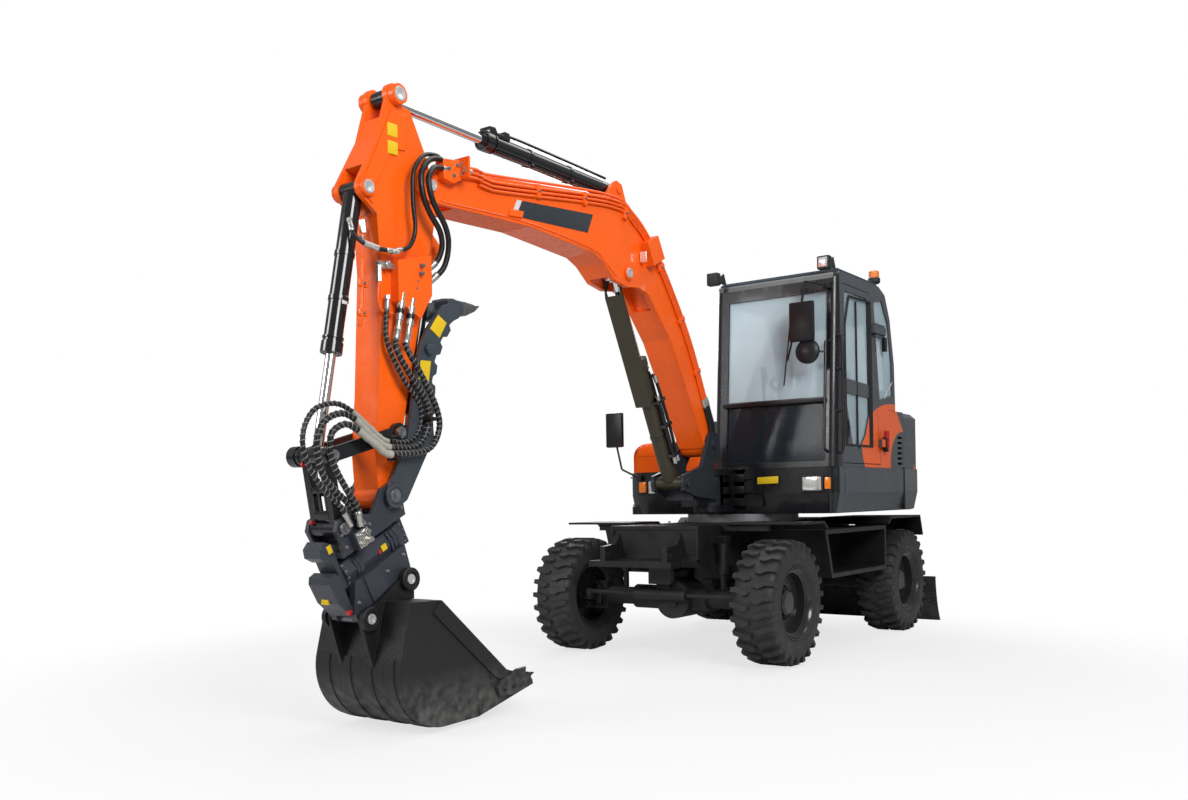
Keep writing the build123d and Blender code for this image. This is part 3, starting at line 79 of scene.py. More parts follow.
def paper(name, shade):
    """Pale surface that takes shadows and turns to plain white to the eye far from the machine."""
    material, tree, body = new_finish(name)
    body.inputs["Base Color"].default_value = (*shade, 1)
    grain = add_node(tree, "ShaderNodeTexNoise", {"Scale": 3.0})
    tint = add_node(tree, "ShaderNodeMapRange", {"Value": grain.outputs["Fac"], "To Min": 0.88,
        "To Max": 0.94})
    tree.links.new(tint.outputs["Result"], body.inputs["Roughness"])
    where = add_node(tree, "ShaderNodeTexCoord")
    reach = add_node(tree, "ShaderNodeVectorMath", {0: where.outputs["Object"]}, operation="DISTANCE")
    reach.inputs[1].default_value = (0, -0.6, 0)
    far = add_node(tree, "ShaderNodeMapRange", {"Value": reach.outputs["Value"], "From Min": 2.2,
        "From Max": 4.6, "To Min": 0.72}, interpolation_type="SMOOTHSTEP")
    ray = add_node(tree, "ShaderNodeLightPath")
    plain = add_node(tree, "ShaderNodeMath", {0: ray.outputs["Is Camera Ray"], 1: far.outputs["Result"]},
        operation="MULTIPLY")
    white = add_node(tree, "ShaderNodeEmission", {"Strength": 1.0})
    mix = add_node(tree, "ShaderNodeMixShader", {0: plain.outputs[0], 1: body.outputs[0],
        2: white.outputs[0]})
    tree.links.new(mix.outputs[0], tree.nodes["Material Output"].inputs["Surface"])
    return material


floor_mesh = bpy.data.meshes.new("studio_floor")
floor_mesh.from_pydata([(-40, -40, 0), (40, -40, 0), (40, 40, 0), (-40, 40, 0)], [], [(0, 1, 2, 3)])
floor = bpy.data.objects.new("studio_floor", floor_mesh)
floor.location.z = -0.001
floor_mesh.materials.append(paper("floor_paper", (0.66, 0.66, 0.66)))
scene.collection.objects.link(floor)

world = bpy.data.worlds.new("studio_air")
scene.world = world
world.use_nodes = True
air = world.node_tree
rays = add_node(air, "ShaderNodeLightPath").outputs
seen = add_node(air, "ShaderNodeMath", {0: rays["Is Camera Ray"], 1: rays["Is Transmission Ray"]},
    operation="MAXIMUM")
glow = add_node(air, "ShaderNodeMath", {0: rays["Is Glossy Ray"], 1: 0.18}, operation="MULTIPLY")
either = add_node(air, "ShaderNodeMath", {0: seen.outputs[0], 1: glow.outputs[0]}, operation="MAXIMUM")
level = add_node(air, "ShaderNodeMapRange", {"Value": either.outputs[0], "To Min": 0.17, "To Max": 1.0})
air.links.new(level.outputs["Result"], air.nodes["Background"].inputs["Strength"])
air.nodes["Background"].inputs["Color"].default_value = (1, 1, 1, 1)

STUDIO_PANELS = [  # name, place, size, power
    ("panel_left", (6.0, -4.5, 5.0), 3.0, 450),
    ("panel_front", (-3.0, -7.5, 4.2), 2.5, 230),
    ("panel_top", (0.5, 0.5, 7.0), 6.0, 260),
    ("panel_back", (-4.5, 5.5, 4.5), 3.0, 160),
]
for name, place, size, power in STUDIO_PANELS:
    light = bpy.data.lights.new(name, "AREA")
    light.size = size
    light.energy = power
    lamp = bpy.data.objects.new(name, light)
    lamp.location = place
    lamp.rotation_euler = (Vector((0, -0.3, 1.2)) - Vector(place)).to_track_quat("-Z", "Y").to_euler()
    scene.collection.objects.link(lamp)

# The camera stands low, off the machine's left front, and looks level towards the house.
camera_data = bpy.data.cameras.new("camera")
camera_data.lens = 32.02
camera_data.sensor_width = 36
camera_data.shift_y = 0.083
camera_data.clip_end = 200
camera_data.dof.use_dof = False
camera = bpy.data.objects.new("camera", camera_data)
turn, lean, stand = 0.625, -0.017, Vector((3.913, -6.219, 1.12))
ahead = Vector((-math.sin(turn), math.cos(turn), 0))
across = Vector((math.cos(turn), math.sin(turn), 0))
upward = across.cross(ahead)
side = across * math.cos(lean) + upward * math.sin(lean)
top = upward * math.cos(lean) - across * math.sin(lean)
camera.matrix_world = Matrix(((side.x, top.x, -ahead.x, stand.x), (side.y, top.y, -ahead.y, stand.y),
    (side.z, top.z, -ahead.z, stand.z), (0, 0, 0, 1)))
scene.collection.objects.link(camera)
scene.camera = camera

# ---- chassis, axles and knuckles ------------------------------------------------------------
# Welded steel frame with cast axles and steering knuckles, all in black chassis paint that is
# dusty towards the ground. The painted() finish is shared by every sprayed part.


def calc(material, operation, *values):
    """One Math node; each value is a number or another node's socket."""
    return add_node(material.node_tree, "ShaderNodeMath", dict(enumerate(values)),
        operation=operation).outputs[0]


def place_of(material):
    """x, y and z of the surface point on the piece, in metres."""
    found = material.node_tree.nodes.get("place")
    if found is None:
        where = add_node(material.node_tree, "ShaderNodeTexCoord")
        found = add_node(material.node_tree, "ShaderNodeSeparateXYZ", {0: where.outputs["Object"]})
        found.name = "place"
    return found.outputs["X"], found.outputs["Y"], found.outputs["Z"]


def cloud(material, scale, detail=4, low=0.0, high=1.0, stretch=None):
    """Soft noise between low and high."""
    tree = material.node_tree
    where = add_node(tree, "ShaderNodeTexCoord").outputs["Object"]
    if stretch:
        where = add_node(tree, "ShaderNodeMapping", {0: where, "Scale": stretch}).outputs[0]
    noise = add_node(tree, "ShaderNodeTexNoise", {"Vector": where, "Scale": scale, "Detail": detail})
    spread = add_node(tree, "ShaderNodeMapRange", {"Value": noise.outputs["Fac"], "From Min": 0.3,
        "From Max": 0.7, "To Min": low, "To Max": high})
    return spread.outputs["Result"]


def blend_colours(tree, share, first, second):
    """The colour between two, each a socket or (r, g, b)."""
    mix = add_node(tree, "ShaderNodeMix", {0: share}, data_type="RGBA")
    for number, colour in ((6, first), (7, second)):
        if isinstance(colour, bpy.types.NodeSocket):
            tree.links.new(colour, mix.inputs[number])
        else:
            mix.inputs[number].default_value = (*colour, 1)
    return mix.outputs[2]


def overlay(material, colour, amount):
    """Lays a second colour over the finish where amount, a socket, is 1."""
    tree = material.node_tree
    base = tree.nodes["Principled BSDF"].inputs["Base Color"]
    tree.links.new(blend_colours(tree, amount, base.links[0].from_socket, colour), base)
    return material


def painted(name, colour, rough=0.35, shade=0.12, grain=0.0, grain_size=120, metal=0.0, coat=0.0,
        round_edge=0.004, gloss=0.35):
    """Sprayed or cast metal: cloudy colour, uneven gloss, softened edges and, for castings, a grain."""
    material, tree, body = new_finish(name)
    for socket, value in (("Metallic", metal), ("Coat Weight", coat), ("Coat Roughness", 0.06),
            ("Specular IOR Level", gloss)):
        body.inputs[socket].default_value = value
    darker, lighter = [c * (1 - shade) for c in colour], [min(1, c * (1 + shade)) for c in colour]
    tree.links.new(blend_colours(tree, cloud(material, 2.5, 5), darker, lighter), body.inputs["Base Color"])
    tree.links.new(cloud(material, 14, 3, max(0.03, rough * 0.8), rough * 1.25), body.inputs["Roughness"])
    soft = add_node(tree, "ShaderNodeBevel", {"Radius": round_edge}, samples=3).outputs[0]
    if grain:
        soft = add_node(tree, "ShaderNodeBump", {"Strength": grain, "Distance": 0.002, "Normal": soft,
            "Height": cloud(material, grain_size, 3)}).outputs[0]
    tree.links.new(soft, body.inputs["Normal"])
    return material


def dusty(material, colour, low, high, strength):
    """Dry dust that thins out from height low to height high."""
    z = place_of(material)[2]
    fade = calc(material, "MULTIPLY", calc(material, "SUBTRACT", high, z), 1 / (high - low))
    fade = calc(material, "MINIMUM", calc(material, "MAXIMUM", fade, 0.0), 1.0)
    return overlay(material, colour, calc(material, "MULTIPLY", fade, cloud(material, 9, 6, 0.0, strength)))


def coat_nodes(material, *names):
    """Gives the finish to CAD nodes."""
    for name in names:
        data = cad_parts[name].data
        data.materials.clear()
        data.materials.append(material)


chassis_black = dusty(painted("chassis_black", (0.009, 0.009, 0.01), 0.36, grain=0.12, round_edge=0.005),
    (0.1, 0.095, 0.09), 0.2, 0.9, 0.16)
coat_nodes(chassis_black, "chassis_frame", "side_steps", "fenders", "lock_cylinders")
cast_black = dusty(painted("cast_black", (0.008, 0.008, 0.009), 0.5, grain=0.5, grain_size=160,
    round_edge=0.008), (0.1, 0.095, 0.09), 0.1, 0.8, 0.18)
coat_nodes(cast_black, "steer_rod", "front_axle", "rear_axle", "knuckle_left", "knuckle_right", "driveline")
bright_rod = painted("bright_rod", (0.78, 0.78, 0.8), 0.09, shade=0.04, metal=1.0, round_edge=0.001)
coat_nodes(bright_rod, "blade_cyl_rod", "boom_cyl_rod", "arm_cyl_rod", "bucket_cyl_rod", "thumb_cyl_rod")
turned_steel = painted("turned_steel", (0.2, 0.2, 0.21), 0.42, metal=0.85, grain=0.15)
coat_nodes(turned_steel, "slew_ring", "bucket_pins")

# ---- chassis fastenings ---------------------------------------------------------------------
# Hex bolts with washers on the frame's plates and axles, turned or pressed from plain steel.
# put() closes every piece below; turned(), slab(), brick() and tube() shape them.


def rank(item):
    """A number for an edge or face from its lowest vertices, so that each run lists them alike."""
    number = 0
    for index in sorted(vert.index for vert in item.verts)[:3]:
        number = number * 2 ** 17 + index
    return number


def put(name, shape, material, body, sharp=38):
    """Makes one piece of a bmesh and rides it on a body; edges under the sharp angle are smooth."""
    bmesh.ops.recalc_face_normals(shape, faces=shape.faces)
    limit = math.radians(sharp)
    for face in shape.faces:
        face.smooth = True
    for edge in shape.edges:
        edge.smooth = len(edge.link_faces) == 2 and edge.calc_face_angle(0) < limit
    shape.verts.index_update()
    shape.edges.sort(key=rank)
    shape.faces.sort(key=rank)
    data = bpy.data.meshes.new(name)
    shape.to_mesh(data)
    shape.free()
    data.materials.append(material)
    piece = bpy.data.objects.new(name, data)
    scene.collection.objects.link(piece)
    if body:
        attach(piece, body)
    return piece


def angles(count, shift=0.0):
    """Even angles round a circle."""
    return [2 * math.pi * (k + shift) / count for k in range(count)]


def axes_for(direction):
    """Two directions square to the given one."""
    along = Vector(direction).normalized()
    helper = Vector((0, 0, 1)) if abs(along.z) < 0.9 else Vector((0, 1, 0))
    first = along.cross(helper).normalized()
    return along, first, along.cross(first)


def turned(shape, start, direction, profile, steps=20, hollow=False):
    """Turns (distance, radius) pairs about an axis into a closed round body, or a ring if hollow."""
    along, first, second = axes_for(direction)
    start = Vector(start)
    rings = []
    for distance, radius in profile:
        centre = start + along * distance
        if radius < 1e-6:
            rings.append([shape.verts.new(centre)])
        else:
            rings.append([shape.verts.new(centre + (first * math.cos(a) + second * math.sin(a)) * radius)
                for a in angles(steps)])
    for low, high in zip(rings, rings[1:] + (rings[:1] if hollow else [])):
        for k in range(steps):
            j = (k + 1) % steps
            if len(low) == 1 and len(high) == 1:
                continue
            if len(low) == 1:
                shape.faces.new((low[0], high[k], high[j]))
            elif len(high) == 1:
                shape.faces.new((low[k], low[j], high[0]))
            else:
                shape.faces.new((low[k], low[j], high[j], high[k]))
    for ring in () if hollow else (rings[0], rings[-1]):
        if len(ring) > 1:
            shape.faces.new(ring)
    return shape


def plug(shape, place, direction, low, high, radius, steps, rim=None):
    """A round bar between two distances; rim is the radius where a 2 mm chamfer ends it."""
    profile = [(low, radius), (high, radius)] + ([(high + 0.002, rim)] if rim else [])
    turned(shape, place, direction, profile, steps)


def bolt(shape, place, direction, size):
    """Washer and chamfered hexagon head on a face; size is across the washer's radius."""
    turned(shape, place, direction, [(-0.002, size), (size * 0.16, size), (size * 0.2, size * 0.93)], 14)
    turned(shape, place, direction, [(0, size * 0.78), (size * 0.72, size * 0.78),
        (size * 0.84, size * 0.62)], 6)


def slab(shape, outline, low, high, edge=0.0, axis="X"):
    """A flat outline given a thickness along an axis; edge is the chamfer round both faces."""
    order = {
        "X": lambda a, b, t: (t, a, b),
        "Y": lambda a, b, t: (a, t, b),
        "Z": lambda a, b, t: (a, b, t),
    }[axis]
    made = []
    for level in (low, high):
        made.append([shape.verts.new(order(a, b, level)) for a, b in outline])
    faces = [shape.faces.new(made[0]), shape.faces.new(list(reversed(made[1])))]
    for k in range(len(outline)):
        j = (k + 1) % len(outline)
        faces.append(shape.faces.new((made[0][k], made[1][k], made[1][j], made[0][j])))
    if edge:
        edges = dict.fromkeys(e for f in faces for e in f.edges)
        bmesh.ops.bevel(shape, geom=list(edges), offset=edge, segments=2, affect="EDGES", profile=0.6)
    return shape


def brick(shape, x, y, z, edge=0.004):
    """A block between limits, with its edges rounded."""
    return slab(shape, [(y[0], z[0]), (y[1], z[0]), (y[1], z[1]), (y[0], z[1])], x[0], x[1], edge)


def smooth_path(points, step=0.02):
    """Even points on one smooth curve through the given ones."""
    points = [Vector(p) for p in points]
    ends = [points[0] * 2 - points[1]] + points + [points[-1] * 2 - points[-2]]
    path = []
    for k in range(1, len(ends) - 2):
        p0, p1, p2, p3 = ends[k - 1:k + 3]
        count = max(2, int((p2 - p1).length / step))
        for i in range(count):
            t = i / count
            path.append(0.5 * ((2 * p1) + (p2 - p0) * t + (2 * p0 - 5 * p1 + 4 * p2 - p3) * t * t + (3 * p1
                - p0 - 3 * p2 + p3) * t ** 3))
    path.append(points[-1])
    return path


def tube(shape, path, radius, sides=10, swell=None):
    """A round tube along a path; swell(distance) scales its radius."""
    path = [Vector(p) for p in path]
    along, first, second = axes_for(path[1] - path[0])
    rings, run = [], 0.0
    for k, point in enumerate(path):
        heading = (path[min(k + 1, len(path) - 1)] - path[max(k - 1, 0)]).normalized()
        first = (first - heading * first.dot(heading)).normalized()
        second = heading.cross(first)
        if k:
            run += (point - path[k - 1]).length
        size = radius * (swell(run) if swell else 1)
        rings.append([shape.verts.new(point + (first * math.cos(a) + second * math.sin(a)) * size)
            for a in angles(sides)])
    for low, high in zip(rings, rings[1:]):
        for i in range(sides):
            j = (i + 1) % sides
            shape.faces.new((low[i], low[j], high[j], high[i]))
    shape.faces.new(rings[0])
    shape.faces.new(rings[-1])
    return shape


def fresh():
    """An empty shape."""
    return bmesh.new()


def plate(name, outline, low, high, edge, material, body, axis="X"):
    """A piece that is one slab."""
    return put(name, slab(fresh(), outline, low, high, edge, axis), material, body)


plain_bolt = painted("plain_bolt", (0.22, 0.22, 0.23), 0.38, metal=0.8, round_edge=0.001)
dark_bolt = painted("dark_bolt", (0.02, 0.02, 0.022), 0.38, metal=0.3, round_edge=0.001)
fastenings = fresh()
for y in (0.75, 1.0, 1.25, 1.5, 1.7):
    for x in (-0.4, 0.4):
        bolt(fastenings, (x, y, 0.927), (0, 0, 1), 0.011)
for side_sign in (-1, 1):
    for angle in angles(6):
        bolt(fastenings, (side_sign * 0.3 + 0.03 * math.cos(angle), 0.165, 0.4 + 0.03 * math.sin(angle)),
            (0, -1, 0), 0.007)
put("frame_bolts", fastenings, dark_bolt, "chassis")

# ---- wheels ---------------------------------------------------------------------------------
# Dual-purpose tyres moulded in one piece: chevron lugs in two staggered rows, ringed sidewalls
# and a bead on a deep black rim with ten studs and a planetary hub cover.
TYRE_OUTER = 0.415
LUG_COUNT = 26
rubber = painted("tyre_rubber", (0.024, 0.024, 0.025), 0.5, shade=0.25, grain=0.35, grain_size=220,
    round_edge=0.004)
rubber = dusty(rubber, (0.1, 0.098, 0.095), -0.2, 0.9, 0.2)
rim_black = painted("rim_black", (0.016, 0.016, 0.018), 0.24, coat=0.3, round_edge=0.003)
coat_nodes(rim_black, "rim_front_left", "rim_front_right", "rim_rear_left", "rim_rear_right")
TYRE_PROFILE = [  # across from the middle, radius
    (0.0, 0.391), (0.06, 0.39), (0.105, 0.386), (0.128, 0.376), (0.141, 0.36), (0.1465, 0.338),
    (0.1485, 0.315), (0.147, 0.306), (0.1485, 0.3), (0.1475, 0.29), (0.149, 0.284), (0.148, 0.272),
    (0.144, 0.262), (0.138, 0.252), (0.13, 0.244), (0.12, 0.24), (0.11, 0.232), (0.104, 0.217),
]
WHEELS = [  # name, hub x, hub y, way out
    ("front_left", 0.805, 0.145, 1), ("front_right", -0.805, 0.145, -1),
    ("rear_left", 0.805, 2.255, 1), ("rear_right", -0.805, 2.255, -1),
]
# A lug's plan (across, along the tread): it leans back to the shoulder and hooks at the crown.
LUG_PLAN = [(0.006, -0.004), (0.014, 0.022), (0.052, 0.03), (0.1, 0.006), (0.1465, 0.001),
    (0.1465, -0.036), (0.1, -0.034), (0.046, -0.014)]
LUG_MIDDLE = (0.076, -0.004)
CROWN_EDGE, SIDE_EDGE = 0.12, 0.14  # across, where a lug's top starts to fall and where its side starts
CROWN_FOOT, SIDE_FOOT = 0.372, 0.335  # radii sunk in the casing under the tread and under the side
for name, x, y, out in WHEELS:
    tyre = fresh()
    centre = Vector((x, y, TYRE_OUTER))
    steps = 104
    profile = [(-a, r) for a, r in reversed(TYRE_PROFILE[1:])] + TYRE_PROFILE
    rings = []
    for across_x, radius in profile:
        rings.append([tyre.verts.new(centre + Vector((across_x, radius * math.cos(a),
            radius * math.sin(a)))) for a in angles(steps)])
    for low, high in zip(rings, rings[1:] + rings[:1]):
        for k in range(steps):
            j = (k + 1) % steps
            tyre.faces.new((low[k], low[j], high[j], high[k]))
    for row in (-1, 1):
        for k in range(LUG_COUNT):
            middle = 2 * math.pi * (k + (0.5 if row > 0 else 0)) / LUG_COUNT
            tops, feet = [], []
            for a, s in LUG_PLAN:
                fall = 0.0 if a < CROWN_EDGE else (a - CROWN_EDGE) * 0.55
                foot = SIDE_FOOT if a > SIDE_EDGE else CROWN_FOOT
                for group, radius, grow in ((tops, TYRE_OUTER - 0.0006 - fall, 0.9), (feet, foot, 1.0)):
                    lug_x = LUG_MIDDLE[0] + (a - LUG_MIDDLE[0]) * (grow if a < SIDE_EDGE else 1)
                    angle = middle + (LUG_MIDDLE[1] + (s - LUG_MIDDLE[1]) * grow) / TYRE_OUTER
                    group.append(tyre.verts.new(centre + Vector((row * lug_x, radius * math.cos(angle),
                        radius * math.sin(angle)))))
            tyre.faces.new(tops)
            tyre.faces.new(list(reversed(feet)))
            for i in range(len(LUG_PLAN)):
                j = (i + 1) % len(LUG_PLAN)
                tyre.faces.new((tops[i], feet[i], feet[j], tops[j]))
    piece = put("tyre_" + name, tyre, rubber, "wheel_" + name, sharp=32)
    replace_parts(piece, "tyre_" + name)
    flange = fresh()
    turned(flange, (x + out * 0.096, y, TYRE_OUTER), (out, 0, 0), [(0, 0.222), (0.012, 0.243),
        (0.034, 0.2455), (0.04, 0.243), (0.041, 0.237), (0.034, 0.233), (0.02, 0.224), (0.012, 0.212),
        (-0.06, 0.208), (-0.064, 0.215)], 56, hollow=True)
    turned(flange, (x + out * 0.03, y, TYRE_OUTER), (out, 0, 0), [(0, 0.212), (0.016, 0.209), (0.012, 0.17),
        (0.004, 0.12), (-0.004, 0.12)], 56, hollow=True)
    put("flange_" + name, flange, rim_black, "wheel_" + name)
    hub = fresh()
    turned(hub, (x - out * 0.02, y, TYRE_OUTER), (out, 0, 0), [(0, 0.115), (0.052, 0.113), (0.058, 0.107),
        (0.06, 0.072), (0.082, 0.068), (0.088, 0.06), (0.09, 0.0)], 40)
    put("hub_" + name, hub, cast_black, "wheel_" + name)
    studs = fresh()
    for angle in angles(10):
        place = (x + out * 0.036, y + 0.095 * math.cos(angle), TYRE_OUTER + 0.095 * math.sin(angle))
        turned(studs, place, (out, 0, 0), [(0, 0.013), (0.014, 0.013), (0.016, 0.0075), (0.028, 0.0075),
            (0.03, 0.005)], 6)
    for angle in angles(6, 0.5):
        bolt(studs, (x + out * 0.062, y + 0.052 * math.cos(angle), TYRE_OUTER + 0.052 * math.sin(angle)),
            (out, 0, 0), 0.008)
    put("studs_" + name, studs, dark_bolt, "wheel_" + name)

# ---- house, cab shell and covers ------------------------------------------------------------
# Pressed sheet steel sprayed blue-grey, with the frame round the windscreen and the apron below
# it in satin black and one orange crescent across the door, the cab's rear corner and the cover.
HOUSE_GREY = (0.052, 0.062, 0.074)
ORANGE = (0.9, 0.115, 0.006)
SATIN_BLACK = (0.008, 0.008, 0.01)


def crescent(material):
    """1 inside the crescent on the cab's outer side, seen along x, else 0."""
    x, y, z = place_of(material)

    def oval(cy, cz, ry, rz):
        a = calc(material, "MULTIPLY", calc(material, "SUBTRACT", y, cy), 1 / ry)
        b = calc(material, "MULTIPLY", calc(material, "SUBTRACT", z, cz), 1 / rz)
        return calc(material, "ADD", calc(material, "MULTIPLY", a, a), calc(material, "MULTIPLY", b, b))

    front = calc(material, "LESS_THAN", oval(2.02, 1.47, 0.65, 0.36), 1.0)
    hollow = calc(material, "GREATER_THAN", oval(2.24, 1.36, 0.27, 0.26), 1.0)
    slope = calc(material, "LESS_THAN", calc(material, "ADD", z, calc(material, "MULTIPLY", y, 1.05)), 4.0)
    surface = add_node(material.node_tree, "ShaderNodeNewGeometry")
    facing = add_node(material.node_tree, "ShaderNodeSeparateXYZ", {0: surface.outputs["Normal"]})
    outer = calc(material, "MULTIPLY", calc(material, "GREATER_THAN", x, 0.86), calc(material, "GREATER_THAN",
        facing.outputs["X"], 0.3))
    found = calc(material, "MULTIPLY", front, hollow)
    return calc(material, "MULTIPLY", found, calc(material, "MULTIPLY", slope, outer))


def house_paint(name, black_before=None, swoosh=True):
    """House grey, with the crescent and with satin black ahead of one y."""
    material = painted(name, HOUSE_GREY, 0.3, shade=0.07, coat=0.25, round_edge=0.006)
    if swoosh:
        overlay(material, ORANGE, crescent(material))
    if black_before is not None:
        overlay(material, SATIN_BLACK, calc(material, "LESS_THAN", place_of(material)[1], black_before))
    return material


coat_nodes(house_paint("cab_paint", black_before=0.992), "cab_shell")
coat_nodes(house_paint("door_paint"), "door")
coat_nodes(house_paint("cover_paint"), "side_covers", "rear_hood")
coat_nodes(painted("roof_paint", HOUSE_GREY, 0.75, shade=0.07, grain=0.3, round_edge=0.006, gloss=0.04),
    "cab_roof")
coat_nodes(house_paint("skirt_paint", black_before=0.925, swoosh=False), "base_panels")
coat_nodes(painted("tail_grey", (0.1, 0.105, 0.115), 0.33, grain=0.15, coat=0.2, round_edge=0.012),
    "counterweight")
orange_paint = painted("orange_paint", ORANGE, 0.26, shade=0.05, coat=0.2, round_edge=0.007, gloss=0.25)
coat_nodes(orange_paint, "boom", "arm")
cover_orange = painted("cover_orange", ORANGE, 0.6, shade=0.05, round_edge=0.007, gloss=0.08)
coat_nodes(cover_orange, "right_hood")
house_black = painted("house_black", SATIN_BLACK, 0.35, grain=0.08, round_edge=0.005)
coat_nodes(house_black, "upper_frame", "mirrors", "engine")
post_cast = painted("post_cast", (0.022, 0.026, 0.034), 0.42, grain=0.35, grain_size=140, round_edge=0.01)
coat_nodes(post_cast, "swing_post")


def soften_corner(node, corners, name):
    """A copy of a CAD node whose upright corners are rolled; each corner is (x, y, radius x, radius y)."""
    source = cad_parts[node]
    shape = fresh()
    shape.from_mesh(source.data)
    shape.transform(source.matrix_world)
    for corner_x, corner_y, radius_x, radius_y in corners:
        sign_x = 1 if corner_x > 0 else -1
        centre_x, centre_y = corner_x - sign_x * radius_x, corner_y + radius_y
        for k in range(9):
            for point, normal in (((centre_x + sign_x * radius_x * k / 8.5, 0, 0), (1, 0, 0)),
                    ((0, centre_y - radius_y * k / 8.5, 0), (0, 1, 0))):
                bmesh.ops.bisect_plane(shape, geom=shape.verts[:] + shape.edges[:] + shape.faces[:],
                    plane_co=point, plane_no=normal, dist=1e-5)
        for vert in shape.verts:
            across_x, across_y = (vert.co.x - centre_x) * sign_x / radius_x, (centre_y - vert.co.y) / radius_y
            if across_x > 0 and across_y > 0:
                squeeze = max(across_x, across_y) / math.hypot(across_x, across_y)
                vert.co.x = centre_x + sign_x * radius_x * across_x * squeeze
                vert.co.y = centre_y - radius_y * across_y * squeeze
    piece = put(name, shape, source.data.materials[0], "upper")
    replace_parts(piece, node)
    return piece


soften_corner("base_panels", [(-0.925, 0.851, 0.26, 0.26), (0.925, 0.851, 0.07, 0.07)], "base_skirt")
soften_corner("right_hood", [(-0.917, 0.877, 0.25, 0.234)], "right_cover")
lens = painted("lens", (0.75, 0.73, 0.68), 0.12, shade=0.08, coat=0.8, round_edge=0.002)
coat_nodes(lens, "lamps")

# ---- glazing --------------------------------------------------------------------------------
# Tinted safety glass in black rubber; its pale colour is a painted reflection of the bright
# surroundings. The pane below the middle rail stands before the dark foot well; its darker, less clear colour
# is painted shade.


def glazing(name, colour, alpha):
    """Cloudy tinted glass that mirrors little; its pale colour is a painted reflection."""
    material, tree, body = new_finish(name)
    body.inputs["Alpha"].default_value = alpha
    body.inputs["Specular IOR Level"].default_value = 0.12
    darker, lighter = [c * 0.82 for c in colour], [min(1, c * 1.1) for c in colour]
    tree.links.new(blend_colours(tree, cloud(material, 1.3, 2), darker, lighter), body.inputs["Base Color"])
    tree.links.new(cloud(material, 5, 2, 0.05, 0.12), body.inputs["Roughness"])
    return material


# Pale blue at half clearness: a painted reflection of the bright surroundings on the glass.
glass_painted_reflection_and_shade = glazing("glass_painted_reflection_and_shade", (0.62, 0.78, 0.86), 0.5)
x, y, z = place_of(glass_painted_reflection_and_shade)
# Painted shade: below z 1.8 and ahead of y 1.0 the glass turns dark and less clear, standing in for the dark
# foot well behind it.
foot_well_painted_shade = calc(glass_painted_reflection_and_shade, "MULTIPLY", calc(glass_painted_reflection_and_shade, "LESS_THAN", z, 1.8),
    calc(glass_painted_reflection_and_shade, "LESS_THAN", y, 1.0))
overlay(glass_painted_reflection_and_shade, (0.016, 0.022, 0.028), foot_well_painted_shade)
glass_painted_reflection_and_shade.node_tree.links.new(calc(glass_painted_reflection_and_shade, "MULTIPLY_ADD", foot_well_painted_shade, 0.36, 0.5),
    glass_painted_reflection_and_shade.node_tree.nodes["Principled BSDF"].inputs["Alpha"])
coat_nodes(glass_painted_reflection_and_shade, "cab_glass", "door_glass")

# ---- cab interior ---------------------------------------------------------------------------
# Moulded dark floor, side console and rear shelf, pedals, a column with a wheel, and two control
# levers: vinyl and plastic, seen through the glass.
inside_dark = painted("inside_dark", (0.022, 0.024, 0.027), 0.6, grain=0.3, grain_size=300, round_edge=0.006)
cabin = fresh()
for x_span, y_span, z_span, edge in [
        ((0.0, 0.84), (0.98, 1.93), (1.352, 1.372), 0.004),
        ((0.62, 0.84), (1.25, 1.9), (1.375, 1.86), 0.03),
        ((0.02, 0.16), (1.3, 1.9), (1.375, 1.8), 0.03),
        ((0.02, 0.84), (1.88, 1.93), (1.375, 1.95), 0.02),
        ((0.1, 0.3), (0.985, 1.02), (1.375, 1.62), 0.02)]:
    brick(cabin, x_span, y_span, z_span, edge)
for low_x in (0.34, 0.44, 0.58):
    slab(cabin, [(1.04, 1.4), (1.1, 1.395), (1.16, 1.52), (1.12, 1.54)], low_x, low_x + 0.07, 0.006)
tube(cabin, smooth_path([(0.44, 1.12, 1.37), (0.44, 1.17, 1.6), (0.44, 1.22, 1.9)]), 0.03, 12)
wheel_ring = [(0.44 + 0.175 * math.cos(a), 1.235 + 0.165 * math.sin(a),
    1.955 - 0.065 * math.sin(a)) for a in angles(40) + [2 * math.pi]]
tube(cabin, wheel_ring, 0.014, 8)
for a in (0.5, 2.6, 4.71):
    tube(cabin, [(0.44, 1.225, 1.915), (0.44 + 0.17 * math.cos(a), 1.235 + 0.16 * math.sin(a),
        1.955 - 0.063 * math.sin(a))], 0.01, 8)
for lever_x in (0.12, 0.7):
    tube(cabin, smooth_path([(lever_x, 1.4, 1.8), (lever_x, 1.36, 1.92), (lever_x, 1.37, 2.02)]), 0.013, 10)
    tube(cabin, smooth_path([(lever_x, 1.37, 2.01), (lever_x, 1.375, 2.07), (lever_x, 1.35, 2.13)]), 0.024,
        12)
put("cab_inside", cabin, inside_dark, "upper")

# ---- operator's seat ------------------------------------------------------------------------
# Foam cushions under woven cloth with vinyl side bolsters, on a sprung base: a seat pad, a tall
# back with side wings and a separate headrest.
seat_cloth = painted("seat_cloth", (0.045, 0.048, 0.055), 0.85, shade=0.2, grain=0.6, grain_size=700,
    round_edge=0.003)


